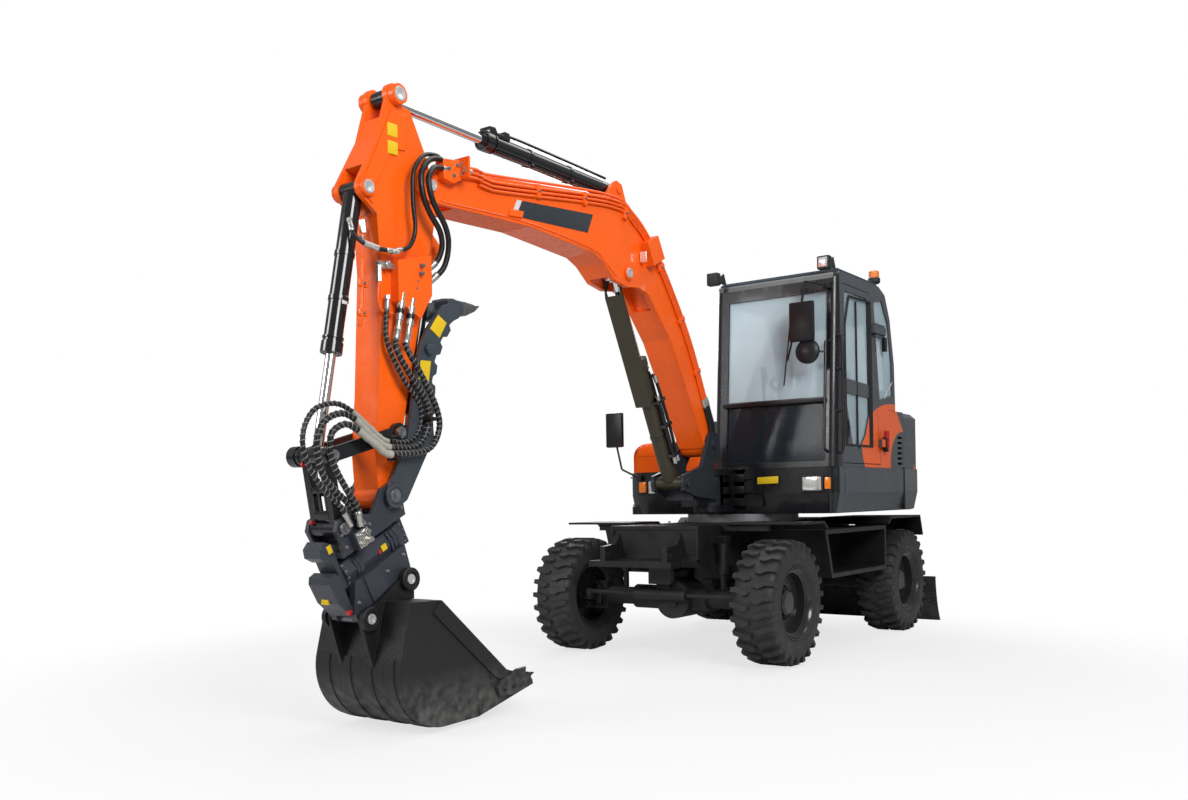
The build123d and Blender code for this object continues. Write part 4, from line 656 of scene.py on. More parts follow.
def cushion(name, centre, half, tip=0.0, crown=0.1, wings=0.0):
    """A crowned closed cushion: a rounded box whose sides pull in between the corners."""
    shape = fresh()
    bmesh.ops.create_cube(shape, size=2.0)
    bmesh.ops.subdivide_edges(shape, edges=shape.edges[:], cuts=9, use_grid_fill=True)
    lean = Matrix.Rotation(tip, 4, "X")
    for vert in shape.verts:
        u, v, w = vert.co
        n = (abs(u) ** 6 + abs(v) ** 6 + abs(w) ** 6) ** (1 / 6)
        u, v, w = u / n, v / n, w / n
        swell = 1 + crown * (1 - u * u) * (1 - v * v)
        pull = 1 - 0.04 * (1 - w * w) * (1 - (u * v) ** 2)
        w_out = w * swell + wings * abs(u) ** 3 * (1 if w > 0 else 0)
        seam = 0.04 * math.exp(-((abs(u) - 0.62) / 0.05) ** 2)
        w_out -= seam * (1 if w > 0 else 0)
        vert.co = Vector(centre) + (lean @ Vector((u * half[0] * pull, v * half[1] * pull, w_out * half[2])))
    return put(name, shape, seat_cloth, "upper", sharp=70)


seat_base = fresh()
brick(seat_base, (0.26, 0.62), (1.34, 1.8), (1.352, 1.4), 0.01)
for k in range(5):
    brick(seat_base, (0.28 + 0.006 * (k % 2), 0.6 - 0.006 * (k % 2)), (1.4, 1.76),
        (1.4 + 0.032 * k, 1.427 + 0.032 * k), 0.008)
brick(seat_base, (0.22, 0.66), (1.34, 1.8), (1.56, 1.6), 0.01)
seat_frame = put("seat_base", seat_base, inside_dark, "upper")
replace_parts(seat_frame, "seat")
for name, centre, half, tip, crown, wings in [
        ("seat_pad", (0.44, 1.53, 1.665), (0.235, 0.215, 0.062), 0.05, 0.22, 0.3),
        ("seat_back", (0.44, 1.775, 1.9), (0.225, 0.235, 0.055), 1.47, 0.2, 0.45),
        ("seat_headrest", (0.44, 1.81, 2.125), (0.125, 0.055, 0.04), 1.47, 0.25, 0.0)]:
    cushion(name, centre, half, tip, crown, wings)

# ---- cab trim -------------------------------------------------------------------------------
# Rubber glazing strips, door latch and hinges, the recess with its black handle, wiper, grab
# rail feet and the blank plates of the apron.
rubber_trim = painted("rubber_trim", (0.012, 0.012, 0.013), 0.55, grain=0.1, round_edge=0.002)
trim = fresh()
low_corner, high_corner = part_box("door_glass")
window = [(low_corner.y + 0.02, low_corner.z + 0.03), (low_corner.y + 0.02, high_corner.z - 0.25),
    (low_corner.y + 0.1, high_corner.z - 0.03), (high_corner.y - 0.03, high_corner.z - 0.02),
    (high_corner.y - 0.02, high_corner.z - 0.5), (high_corner.y - 0.02, low_corner.z + 0.03)]
for k, (a, b) in enumerate(window):
    c, d = window[(k + 1) % len(window)]
    tube(trim, [(0.9205, a, b), (0.9205, c, d)], 0.009, 8)
brick(trim, (0.912, 0.922), (1.285, 1.303), (low_corner.z + 0.03, high_corner.z - 0.05), 0.003)
brick(trim, (0.912, 0.923), (high_corner.y - 0.075, high_corner.y - 0.02),
    (low_corner.z + 0.03, high_corner.z - 0.03), 0.003)
put("door_rubber", trim, rubber_trim, "door")

latch = fresh()
slab(latch, [(1.085 + 0.024 * math.cos(a), 1.585 + 0.105 * math.sin(a)) for a in angles(24)], 0.9195, 0.9235,
    0.0015)
tube(latch, [(0.93, 1.085, 1.535), (0.934, 1.088, 1.6), (0.93, 1.09, 1.66)], 0.008, 8)
for z in (1.5, 2.28):
    brick(latch, (0.93, 0.962), (1.775, 1.815), (z - 0.055, z + 0.055), 0.006)
put("door_latch", latch, house_black, "door")
red_cover = painted("red_cover", (0.42, 0.012, 0.012), 0.3, coat=0.4, round_edge=0.003)
cap = fresh()
turned(cap, (0.952, 1.8, 1.475), (0, 0, 1), [(0, 0.012), (0.006, 0.019), (0.13, 0.019), (0.136, 0.012)], 16)
put("hinge_cover", cap, red_cover, "door")

cab_trim = fresh()
tube(cab_trim, smooth_path([(0.925, 0.93, 1.42), (0.955, 0.93, 1.46), (0.958, 0.93, 1.85),
    (0.955, 0.93, 2.22), (0.925, 0.93, 2.26)]), 0.011, 10)
for z in (1.72, 2.02):
    plug(cab_trim, (0.905, 0.93, z), (1, 0, 0), 0, 0.052, 0.012, 10)
# wiper on its spindle, and the catch bar across the top of the windscreen
tube(cab_trim, [(0.7, 0.872, 2.6), (0.56, 0.868, 2.1)], 0.007, 8)
tube(cab_trim, [(0.6, 0.866, 2.46), (0.53, 0.866, 1.92)], 0.006, 6)
turned(cab_trim, (0.7, 0.885, 2.6), (0, -1, 0), [(0, 0.022), (0.022, 0.02), (0.026, 0.01)], 14)
brick(cab_trim, (0.02, 0.84), (0.868, 0.886), (1.785, 1.815), 0.004)
put("cab_fittings", cab_trim, house_black, "upper")

# Blank plates: a yellow strip where a notice sits, and the silver dash by the rear side window.
plate_yellow = painted("plate_yellow", (0.72, 0.48, 0.012), 0.4, shade=0.05, round_edge=0.001)
plate_silver = painted("plate_silver", (0.62, 0.63, 0.65), 0.32, shade=0.05, round_edge=0.001)
plate("apron_plate", [(0.31, 1.206), (0.48, 1.21), (0.48, 1.262), (0.31, 1.256)], 0.8485, 0.8525, 0.001,
    plate_yellow, "upper", "Y")
plate("side_dash", [(1.835, 1.86), (2.0, 1.985), (2.02, 2.01), (1.99, 1.99), (1.85, 1.885)], 0.9185, 0.9225,
    0.001, plate_silver, "upper")

# ---- lamps ----------------------------------------------------------------------------------
# Headlamps and amber indicators set in moulded bezels under the cab, two square work lamps in
# rubber housings on the roof's brackets and a ribbed amber beacon.
amber = painted("amber_lens", (0.85, 0.22, 0.01), 0.15, coat=0.8, round_edge=0.002)
reflector = painted("reflector", (0.8, 0.8, 0.78), 0.12, shade=0.1, metal=0.6, coat=0.9, round_edge=0.002)
bezels, glasses, ambers = fresh(), fresh(), fresh()
FRONT_LAMPS = [(0.66, 0.83, 0.842, 0.884, 0.839), (-0.655, -0.52, -0.735, -0.672, 0.835)]
for lamp_low, lamp_high, amber_low, amber_high, face_y in FRONT_LAMPS:
    brick(bezels, (lamp_low, lamp_high), (face_y + 0.004, 0.866), (1.14, 1.262), 0.006)
    brick(glasses, (lamp_low + 0.012, lamp_high - 0.012), (face_y, face_y + 0.02), (1.152, 1.25), 0.008)
    middle = (lamp_low + lamp_high) / 2
    turned(glasses, (middle - 0.012, face_y + 0.004, 1.201), (0, -1, 0), [(0, 0.044), (0.003, 0.042),
        (0.0035, 0.03), (0.001, 0.012), (0.0035, 0.0)], 28)
    brick(ambers, (amber_low, amber_high), (face_y + 0.002, 0.866), (1.16, 1.245), 0.007)
    for x in (lamp_low + 0.006, lamp_high - 0.006):
        for z in (1.146, 1.256):
            bolt(bezels, (x, face_y + 0.005, z), (0, -1, 0), 0.004)
for x in (0.858, -0.042):
    brick(bezels, (x - 0.047, x + 0.047), (0.842, 0.902), (2.727, 2.823), 0.012)
    # Painted shade: the lamp at x -0.042 has its lens in the bezels' dark finish instead of the bright
    # reflector.
    brick(glasses if x > 0 else bezels, (x - 0.034, x + 0.034), (0.838, 0.846), (2.74, 2.81), 0.004)
    for k in range(5):
        brick(bezels, (x - 0.04, x + 0.04), (0.899, 0.912), (2.745 + 0.016 * k, 2.75 + 0.016 * k), 0.001)
    slab(bezels, [(0.9, 2.756), (0.9, 2.79), (0.955, 2.8), (1.03, 2.846), (1.072, 2.761)], x - 0.004,
        x + 0.004, 0.001)
brick(bezels, (0.828, 0.888), (1.71, 1.86), (2.77, 2.78), 0.003)
brick(bezels, (0.828, 0.888), (1.71, 1.735), (2.759, 2.775), 0.003)
turned(bezels, (0.858, 1.83, 2.78), (0, 0, 1), [(0, 0.048), (0.03, 0.048), (0.036, 0.043)], 28)
turned(ambers, (0.858, 1.83, 2.816), (0, 0, 1),
    [(0, 0.04)] + [(0.004 + 0.006 * k, 0.0415 if k % 2 else 0.0385) for k in range(8)] + [(0.054, 0.034),
    (0.06, 0.018), (0.06, 0.0)], 28)
lamp_bodies = put("lamp_bodies", bezels, inside_dark, "upper")
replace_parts(lamp_bodies, "lamps")
put("lamp_glasses", glasses, reflector, "upper")
put("amber_lenses", ambers, amber, "upper")

# Moulded housings behind the two flat mirrors, and the round mirror's rolled rim.
mirror_shells = fresh()
brick(mirror_shells, (0.641, 0.829), (0.726, 0.764), (2.211, 2.494), 0.016)
brick(mirror_shells, (-0.984, -0.826), (0.741, 0.779), (1.526, 1.804), 0.016)
turned(mirror_shells, (0.765, 0.756, 2.14), (0, 1, 0), [(-0.004, 0.078), (-0.001, 0.088), (0.02, 0.089),
    (0.026, 0.084), (0.026, 0.0)], 40)
turned(mirror_shells, (0.765, 0.756, 2.14), (0, -1, 0), [(0, 0.086), (0.008, 0.078), (0.018, 0.05),
    (0.024, 0.0)], 40)
put("mirror_shells", mirror_shells, house_black, "upper")

# ---- house fastenings and seams -------------------------------------------------------------
# Dome-headed bolts along the skirts, the seams between pressed covers, a black rail between the
# skirt and the tail, and hoods' latches.
house_bolts = fresh()
for y in (1.02, 1.28, 1.56, 1.84):
    for side_sign in (-1, 1):
        bolt(house_bolts, (side_sign * 0.9245, y, 1.285), (side_sign, 0, 0), 0.008)
        bolt(house_bolts, (side_sign * 0.905, y, 1.06), (side_sign, 0, 0), 0.008)
for x in (-0.6, -0.2, 0.2, 0.6):
    bolt(house_bolts, (x, 2.8495, 1.2), (0, 1, 0), 0.01)
put("skirt_bolts", house_bolts, plain_bolt, "upper")
seams = fresh()
for x_span, y_span, z_span, edge in [
        ((0.918, 0.9265), (1.018, 1.024), (1.13, 1.318), 0.001),
        ((0.89, 0.931), (2.236, 2.262), (0.995, 1.33), 0.008),
        ((-0.931, -0.89), (2.236, 2.262), (0.995, 1.33), 0.008),
        ((-0.12, 0.0), (0.84, 0.862), (1.03, 1.3), 0.008)]:
    brick(seams, x_span, y_span, z_span, edge)
for z in (1.075, 1.165, 1.255):
    brick(seams, (0.02, 0.2), (0.846, 0.862), (z - 0.03, z + 0.03), 0.008)
put("house_rails", seams, house_black, "upper")

# ---- boom and arm dressing ------------------------------------------------------------------
# Steel pipes painted with the boom, held by bolted clamps, a bare dark name panel with a silver
# edge, weld beads, the square work lamp and bright caps over the pins.
# Pins of the front, as (y, z).
BOOM_BASE, BOOM_EYE, ARM_PIVOT = (0.14, 1.22), (-0.53, 2.575), (-2.32, 2.73)
ARM_BASE, ARM_EYE, BUCKET_BASE = (-0.58, 3.11), (-2.54, 3.13), (-2.74, 2.63)
LINK_TOP, LINK_LOW, IDLER_PIVOT, ARM_END = (-2.99, 1.34), (-2.93, 1.0), (-2.57, 1.46), (-2.63, 1.15)
pin_silver = painted("pin_silver", (0.6, 0.6, 0.61), 0.3, metal=0.5, shade=0.05, round_edge=0.002)


def pin_cap(shape, y, z, x_face, radius, out):
    """A dished cap with a centre dimple."""
    turned(shape, (x_face, y, z), (out, 0, 0), [(-0.002, radius), (0.004, radius), (0.007, radius * 0.93),
        (0.0072, radius * 0.55), (0.006, radius * 0.5), (0.006, radius * 0.16), (0.0035, 0.0)], 30)


boom_caps, arm_caps = fresh(), fresh()
for out in (-1, 1):
    pin_cap(boom_caps, *BOOM_EYE, out * 0.1235, 0.032, out)
    pin_cap(boom_caps, *ARM_PIVOT, out * 0.119, 0.03, out)
    pin_cap(arm_caps, *ARM_EYE, out * 0.1225, 0.036, out)
    pin_cap(arm_caps, *BUCKET_BASE, out * 0.1085, 0.033, out)
put("boom_pin_caps", boom_caps, pin_silver, "boom")
put("arm_pin_caps", arm_caps, pin_silver, "arm")

BOOM_TOP = [(-2.13, 2.851), (-1.86, 2.885), (-0.73, 3.03), (-0.44, 2.97), (-0.22, 2.82), (-0.01, 2.59),
    (0.25, 2.23), (0.46, 1.83)]


def beside_top(drop):
    """The boom's top line moved in by drop, square to itself."""
    moved = []
    for k, (a, b) in enumerate(BOOM_TOP):
        before, after = BOOM_TOP[max(k - 1, 0)], BOOM_TOP[min(k + 1, len(BOOM_TOP) - 1)]
        run = Vector((after[0] - before[0], after[1] - before[1])).normalized()
        moved.append((a + run.y * drop, b - run.x * drop))
    return moved


boom_pipes, clamps, clamp_bolts = fresh(), fresh(), fresh()
for x, drop in ((0.119, 0.02), (0.119, 0.044), (0.119, 0.068), (0.097, -0.012)):
    line = beside_top(drop)
    start = [(x + 0.012, -2.135, line[0][1] + 0.035), (x + 0.012, -2.04, line[0][1] + 0.05),
        (x + 0.006, -1.95, 2.905 - drop), (x, -1.86, 2.875 - drop)] if x > 0.11 else [(x, -2.135, 2.88)]
    points = start + [(x, a, b) for a, b in line[1 if x < 0.11 else 2:]]
    tube(boom_pipes, smooth_path(points, 0.05), 0.0085, 10)
for k, share in ((1, 0.35), (1, 0.75), (2, 0.6), (4, 0.5), (5, 0.6), (6, 0.5)):
    a, b = beside_top(0.044)[k], beside_top(0.044)[k + 1]
    run = Vector((b[0] - a[0], b[1] - a[1]))
    y, z = a[0] + run.x * share, a[1] + run.y * share
    along = run.normalized()
    ends = [(y + along.x * s * 0.016 - along.y * t * 0.04,
        z + along.y * s * 0.016 + along.x * t * 0.04) for s, t in ((-1, -1), (1, -1), (1, 1), (-1, 1))]
    slab(clamps, ends, 0.106, 0.131, 0.003)
    bolt(clamp_bolts, (0.131, y, z), (1, 0, 0), 0.009)
put("boom_pipes", boom_pipes, orange_paint, "boom")
put("boom_clamps", clamps, orange_paint, "boom")
for y, z in ((-2.235, 2.83), (-2.175, 2.86), (-2.2, 2.8)):
    bolt(clamp_bolts, (0.1565, y, z), (1, 0, 0), 0.011)
put("boom_bolts", clamp_bolts, plain_bolt, "boom")

# The bare panel on the boom's side: dark field, slanted silver edge.
panel_grey = painted("panel_grey", (0.02, 0.028, 0.036), 0.3, coat=0.4, shade=0.05, round_edge=0.001)
plate("boom_panel", [(-1.645, 2.712), (-0.965, 2.752), (-0.905, 2.876), (-1.59, 2.812)], 0.107, 0.1095,
    0.0008, panel_grey, "boom")
plate("boom_panel_edge", [(-1.69, 2.709), (-1.65, 2.7115), (-1.595, 2.8115), (-1.635, 2.808)], 0.107, 0.1098,
    0.0008, plate_silver, "boom")
weld = fresh()
lower = [(-2.25, 2.667), (-1.52, 2.697), (-0.92, 2.659), (-0.8, 2.617), (-0.66, 2.532)]
tube(weld, smooth_path([(0.1085, a, b) for a, b in lower], 0.03), 0.005, 6)
back = [(-0.3, 2.465), (-0.03, 2.185), (0.13, 1.935), (0.42, 1.475)]
tube(weld, smooth_path([(0.1085, a + 0.012, b + 0.008) for a, b in back], 0.03), 0.005, 6)
slab(weld, [(-1.72, 2.7), (-1.6, 2.712), (-1.585, 2.752), (-1.7, 2.742)], 0.106, 0.118, 0.004)
put("boom_welds", weld, orange_paint, "boom")

# The square work lamp on the boom's side.
plate("boom_lamp_lens", [(-0.395, 2.665), (-0.395, 2.735), (-0.387, 2.735), (-0.387, 2.665)], 0.118, 0.166,
    0.002, reflector, "boom")

# ---- guard and cylinders --------------------------------------------------------------------
# Olive-drab guard channel and barrel on the boom's cylinder; the other barrels are gloss black
# with a gland nut, a return pipe and steel fittings.
olive = painted("olive", (0.036, 0.031, 0.018), 0.38, grain=0.1, round_edge=0.003)
coat_nodes(olive, "rod_guard", "boom_cyl_barrel")
gloss_black = painted("gloss_black", (0.008, 0.008, 0.01), 0.16, coat=0.5, round_edge=0.003)
coat_nodes(gloss_black, "arm_cyl_barrel", "bucket_cyl_barrel", "thumb_cyl_barrel", "blade_cyl_barrel")
CYLINDERS = [  # name, base (y, z), eye (y, z), gland, barrel radius, pipe's side (x, offset across)
    ("boom", BOOM_BASE, BOOM_EYE, 0.93, 0.056, (0.07, 0.0)),
    ("arm", ARM_BASE, ARM_EYE, 1.22, 0.05, (0.04, 0.052)),
    ("bucket", BUCKET_BASE, LINK_TOP, 0.82, 0.045, (-0.03, 0.062)),
]


def pin_to_pin(base, eye):
    """The direction from one pin to another."""
    return Vector((0, eye[0] - base[0], eye[1] - base[1])).normalized()


for name, base, eye, gland, radius, (pipe_x, pipe_off) in CYLINDERS:
    along = pin_to_pin(base, eye)
    across_line = Vector((0, -along.z, along.y))
    foot = Vector((0, *base))
    fittings, nut = fresh(), fresh()
    for start, profile in ((gland - 0.034, [(0, radius + 0.0075), (0.028, radius + 0.0075),
            (0.03, radius + 0.003), (0.034, radius + 0.002), (0.034, radius * 0.72), (0, radius * 0.72)]),
            (gland - 0.08, [(0, radius + 0.006), (0.01, radius + 0.006), (0.01, radius - 0.004),
            (0, radius - 0.004)])):
        turned(nut, foot + along * start, along, profile, 32, hollow=True)
    put(name + "_gland", nut, gloss_black if name != "boom" else olive, name + "_barrel")
    side_at = Vector((pipe_x, 0, 0)) + across_line * pipe_off
    low_end, high_end = foot + along * 0.16, foot + along * (gland - 0.1)
    tube(fittings, smooth_path([low_end + side_at * 0.8, low_end + side_at + along * 0.03,
        (low_end + high_end) / 2 + side_at, high_end + side_at - along * 0.03, high_end + side_at * 0.8],
        0.03), 0.008, 8)
    for share in (0.3, 0.7):
        middle = low_end.lerp(high_end, share)
        turned(fittings, middle - along * 0.011, along, [(0, radius + 0.004), (0.022, radius + 0.004),
            (0.022, radius - 0.003), (0, radius - 0.003)], 32, hollow=True)
        plug(fittings, middle + side_at - along * 0.009, along, 0, 0.018, 0.013, 10)
    put(name + "_return_pipe", fittings, gloss_black, name + "_barrel")
EYE_RADIUS = 0.0415


def eye_cover(name, eye, base, half, body):
    """The cast eye on a rod's end, with its neck, over the pin."""
    eye_shape = fresh()
    turned(eye_shape, (-half, *eye), (1, 0, 0), [(0, EYE_RADIUS - 0.004), (0.004, EYE_RADIUS),
        (2 * half - 0.004, EYE_RADIUS), (2 * half, EYE_RADIUS - 0.004)], 32)
    along = pin_to_pin(eye, base)
    turned(eye_shape, Vector((0, *eye)) + along * EYE_RADIUS * 0.7, along, [(0, EYE_RADIUS * 0.8),
        (0.012, EYE_RADIUS * 0.74), (0.018, EYE_RADIUS * 0.66)], 24)
    put(name, eye_shape, gloss_black, body)


eye_cover("bucket_rod_eye", LINK_TOP, BUCKET_BASE, 0.0402, "bucket_rod")
eye_cover("arm_rod_eye", ARM_EYE, ARM_BASE, 0.0482, "arm_rod")
# clamp block and port at the arm cylinder's gland, bare white label on the bucket cylinder
blocks = fresh()
slab(blocks, [(-1.785, 3.15), (-1.785, 3.198), (-1.735, 3.202), (-1.725, 3.17), (-1.66, 3.172), (-1.655, 3.2),
    (-1.615, 3.198), (-1.61, 3.155)], -0.03, 0.046, 0.005)
tube(blocks, smooth_path([(0.028, -1.63, 3.185), (0.03, -1.5, 3.188), (0.032, -1.0, 3.18),
    (0.032, -0.66, 3.172)], 0.05), 0.009, 8)
put("arm_cylinder_block", blocks, gloss_black, "arm_barrel")
label = fresh()
spot = Vector((0, *BUCKET_BASE)) + pin_to_pin(BUCKET_BASE, LINK_TOP) * 0.56
brick(label, (0.0443, 0.0462), (spot.y - 0.016, spot.y + 0.016), (spot.z - 0.02, spot.z + 0.02), 0.0006)
put("barrel_label", label, plate_silver, "bucket_barrel")

# ---- hoses at the boom's foot ---------------------------------------------------------------
# Black hoses leave the boom's steel pipes near the foot, dip behind the post and rise from its
# valve; two more feed the boom cylinder beside its guard, held by a clip.
hose_rubber = painted("hose_rubber", (0.008, 0.008, 0.009), 0.36, grain=0.2, grain_size=220, round_edge=0.001)
fitting_steel = painted("fitting_steel", (0.46, 0.45, 0.42), 0.28, metal=0.85, round_edge=0.001)
for number, (x, drop) in enumerate(((0.119, 0.02), (0.119, 0.044), (0.119, 0.068))):
    y, z = beside_top(drop)[-1]
    run = fresh()
    path = smooth_path([(x, y, z), (x, y + 0.045, z - 0.085), (x + 0.004, y + 0.085, z - 0.19),
        (x - 0.01, y + 0.1, z - 0.33), (x - 0.02, y + 0.12, z - 0.45)], 0.012)
    tube(run, path, 0.0135, 10)
    piece = put("foot_hose_%d" % number, run, hose_rubber, None)
    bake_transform(piece)
    end = fresh()
    turned(end, path[0], path[1] - path[0], [(-0.02, 0.014), (0.0, 0.014), (0.004, 0.0165), (0.04, 0.0165),
        (0.044, 0.0145)], 12)
    put("foot_hose_end_%d" % number, end, fitting_steel, "boom")
feed = fresh()
base_at, ram_line = Vector((0, *BOOM_BASE)), pin_to_pin(BOOM_BASE, BOOM_EYE)
square = Vector((0, -ram_line.z, ram_line.y))
for x, off, top in ((0.082, -0.03, 0.8), (0.088, 0.012, 0.66)):
    tube(feed, smooth_path([base_at + ram_line * top + square * off + Vector((x * 0.75, 0, 0)),
        base_at + ram_line * (top - 0.05) + square * off + Vector((x, 0, 0)),
        base_at + ram_line * 0.4 + square * off * 1.3 + Vector((x + 0.004, 0, 0)),
        base_at + ram_line * 0.16 + square * off + Vector((x, 0, 0))], 0.02), 0.0115, 10)
put("boom_ram_hoses", feed, hose_rubber, "boom_barrel")
clips = fresh()
for distance in (0.22, 0.44, 0.62):
    middle = base_at + ram_line * distance
    slab(clips, [(middle.y + square.y * a + ram_line.y * b, middle.z + square.z * a + ram_line.z * b) for a,
        b in ((-0.055, -0.012), (0.035, -0.012), (0.035, 0.012), (-0.055, 0.012))], 0.05, 0.104, 0.004)
put("boom_ram_clips", clips, gloss_black, "boom_barrel")
unions = fresh()
for x, off, distance in ((0.082, -0.03, 0.775), (0.088, 0.012, 0.635), (0.084, -0.032, 0.19),
        (0.089, 0.013, 0.19)):
    plug(unions, base_at + ram_line * distance + square * off + Vector((x, 0, 0)), -ram_line, -0.02, 0.03,
        0.0145, 12)
put("boom_ram_unions", unions, fitting_steel, "boom_barrel")

# ---- hoses at the arm's pivot ---------------------------------------------------------------
# Three rubber loops leave the bulkhead at the boom's tip, bow forward round the pivot and go
# back into the arm's bracket. Each runs between two steel ferrules.


def ferrule(shape, place, direction, radius):
    """Crimped sleeve and hexagon union nut at a hose's end; direction runs along the hose."""
    turned(shape, place, direction, [(-0.004, radius * 1.05), (0.03, radius * 1.22), (0.046, radius * 1.22),
        (0.05, radius * 1.02)], 14)
    turned(shape, place, direction, [(-0.022, radius * 1.25), (-0.004, radius * 1.3)], 6)


def hose(name, points, radius, body_a, body_b):
    """A hose between two bodies, with a ferrule on each end."""
    path = smooth_path(points, 0.014)
    shape = fresh()
    tube(shape, path, radius, 12)
    piece = put(name, shape, hose_rubber, None)
    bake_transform(piece)
    ends_a, ends_b = fresh(), fresh()
    ferrule(ends_a, path[0], path[1] - path[0], radius)
    ferrule(ends_b, path[-1], path[-2] - path[-1], radius)
    put(name + "_end_a", ends_a, fitting_steel, body_a)
    put(name + "_end_b", ends_b, fitting_steel, body_b)


LOOPS = [  # name, radius, points from the boom to the arm
    ("loop_rear", 0.0145,
     [(0.132, -2.225, 2.862), (0.142, -2.3, 2.865), (0.156, -2.385, 2.83), (0.168, -2.448, 2.745),
      (0.172, -2.44, 2.64), (0.17, -2.39, 2.56), (0.166, -2.322, 2.49), (0.16, -2.3, 2.42),
      (0.142, -2.312, 2.35), (0.116, -2.35, 2.3)]),
    ("loop_outer", 0.0145,
     [(0.136, -2.225, 2.825), (0.152, -2.305, 2.818), (0.18, -2.378, 2.788), (0.196, -2.425, 2.715),
      (0.2, -2.4, 2.615), (0.196, -2.31, 2.505), (0.184, -2.278, 2.415), (0.16, -2.29, 2.31),
      (0.122, -2.345, 2.238)]),
    ("loop_front", 0.011,
     [(0.118, -2.225, 2.878), (0.126, -2.31, 2.885), (0.142, -2.41, 2.85), (0.152, -2.485, 2.75),
      (0.152, -2.492, 2.6), (0.152, -2.48, 2.47), (0.154, -2.525, 2.375), (0.15, -2.62, 2.335)]),
]
for name, radius, points in LOOPS:
    hose(name, points, radius, "boom", "arm")
hose("ram_feed", [(0.15, -2.62, 2.335), (0.14, -2.72, 2.332), (0.115, -2.79, 2.352), (0.085, -2.822, 2.395),
    (0.06, -2.818, 2.45)], 0.011, "arm", "bucket_barrel")
collar = fresh()
tube(collar, smooth_path([(0.14, -2.715, 2.332), (0.118, -2.785, 2.349)], 0.01), 0.0155, 12)
put("ram_feed_sleeve", collar, fitting_steel, "arm")
bulkhead = fresh()
slab(bulkhead, [(-2.15, 2.795), (-2.15, 2.905), (-2.138, 2.905), (-2.138, 2.795)], 0.106, 0.215, 0.003)
slab(bulkhead, [(-2.145, 2.795), (-2.145, 2.85), (-2.09, 2.82), (-2.09, 2.8)], 0.106, 0.114, 0.002)
put("boom_bulkhead", bulkhead, orange_paint, "boom")
ports = fresh()
for x, z in ((0.16, 2.87), (0.19, 2.835), (0.128, 2.885), (0.16, 2.822), (0.128, 2.84)):
    turned(ports, (x, -2.138, z), (0, 1, 0), [(-0.02, 0.016), (0.016, 0.016), (0.018, 0.012), (0.034, 0.012)],
        6)
put("boom_ports", ports, fitting_steel, "boom")

# ---- arm dressing ---------------------------------------------------------------------------
# Steel pipes and unions down the arm's left side, two bare yellow plates by the top pin,
# bolts on the bracket and the hoses that run wrapped together to the coupler's valve.
arm_pipes = fresh()
tube(arm_pipes, smooth_path([(0.103, -2.784, 2.27), (0.103, -2.79, 2.12), (0.103, -2.796, 1.99),
    (0.09, -2.797, 1.955)], 0.03), 0.009, 10)
tube(arm_pipes, smooth_path([(0.104, -2.68, 2.19), (0.104, -2.69, 2.11), (0.104, -2.67, 2.05),
    (0.11, -2.6, 2.04)], 0.02), 0.008, 10)
for z, y in ((2.16, -2.788), (2.02, -2.794)):
    brick(arm_pipes, (0.088, 0.112), (y - 0.018, y + 0.035), (z - 0.016, z + 0.016), 0.003)
put("arm_pipes", arm_pipes, orange_paint, "arm")
arm_unions = fresh()
tube(arm_unions, smooth_path([(0.106, -2.786, 2.386), (0.106, -2.774, 2.347), (0.112, -2.695, 2.337),
    (0.12, -2.59, 2.343)], 0.02), 0.01, 10)
plug(arm_unions, (0.106, -2.78, 2.43), (0, 0.1, -1), -0.03, 0.03, 0.017, 6)
plug(arm_unions, (0.104, -2.64, 2.27), (0, -1, 0), -0.05, 0.05, 0.016, 6)
turned(arm_unions, (0.104, -2.64, 2.27), (1, 0, 0), [(-0.01, 0.02), (0.028, 0.02), (0.032, 0.012)], 6)
plug(arm_unions, (0.104, -2.68, 2.235), (0, 0, -1), -0.03, 0.05, 0.014, 6)
put("arm_unions", arm_unions, fitting_steel, "arm")
blanks = fresh()
for z in (2.862, 2.95):
    slab(blanks, [(-2.598, z - 0.032), (-2.532, z - 0.03), (-2.532, z + 0.034), (-2.598, z + 0.032)], 0.0912,
        0.0928, 0.0006)
put("arm_blank_plates", blanks, plate_yellow, "arm")
arm_bolts = fresh()
for y, z in ((-2.78, 2.16), (-2.786, 2.02)):
    bolt(arm_bolts, (0.112, y, z), (1, 0, 0), 0.009)
put("arm_bolts", arm_bolts, plain_bolt, "arm")
# two couplers with black grips hang under the bracket
grips, coupler_tubes = fresh(), fresh()
for y, z, x in ((-2.56, 2.115, 0.132), (-2.5, 2.095, 0.14)):
    heading = (0.0, -0.2, -1.0)
    turned(coupler_tubes, (x, y, z), heading, [(-0.03, 0.013), (0.01, 0.013), (0.012, 0.02), (0.045, 0.02),
        (0.047, 0.017), (0.075, 0.017), (0.077, 0.0205), (0.11, 0.0205), (0.112, 0.015), (0.165, 0.014)], 20)
    plug(grips, (x, y - 0.0104, z - 0.051), heading, 0, 0.026, 0.0215, 20)
put("arm_couplers", coupler_tubes, fitting_steel, "arm")
put("arm_coupler_grips", grips, hose_rubber, "arm")
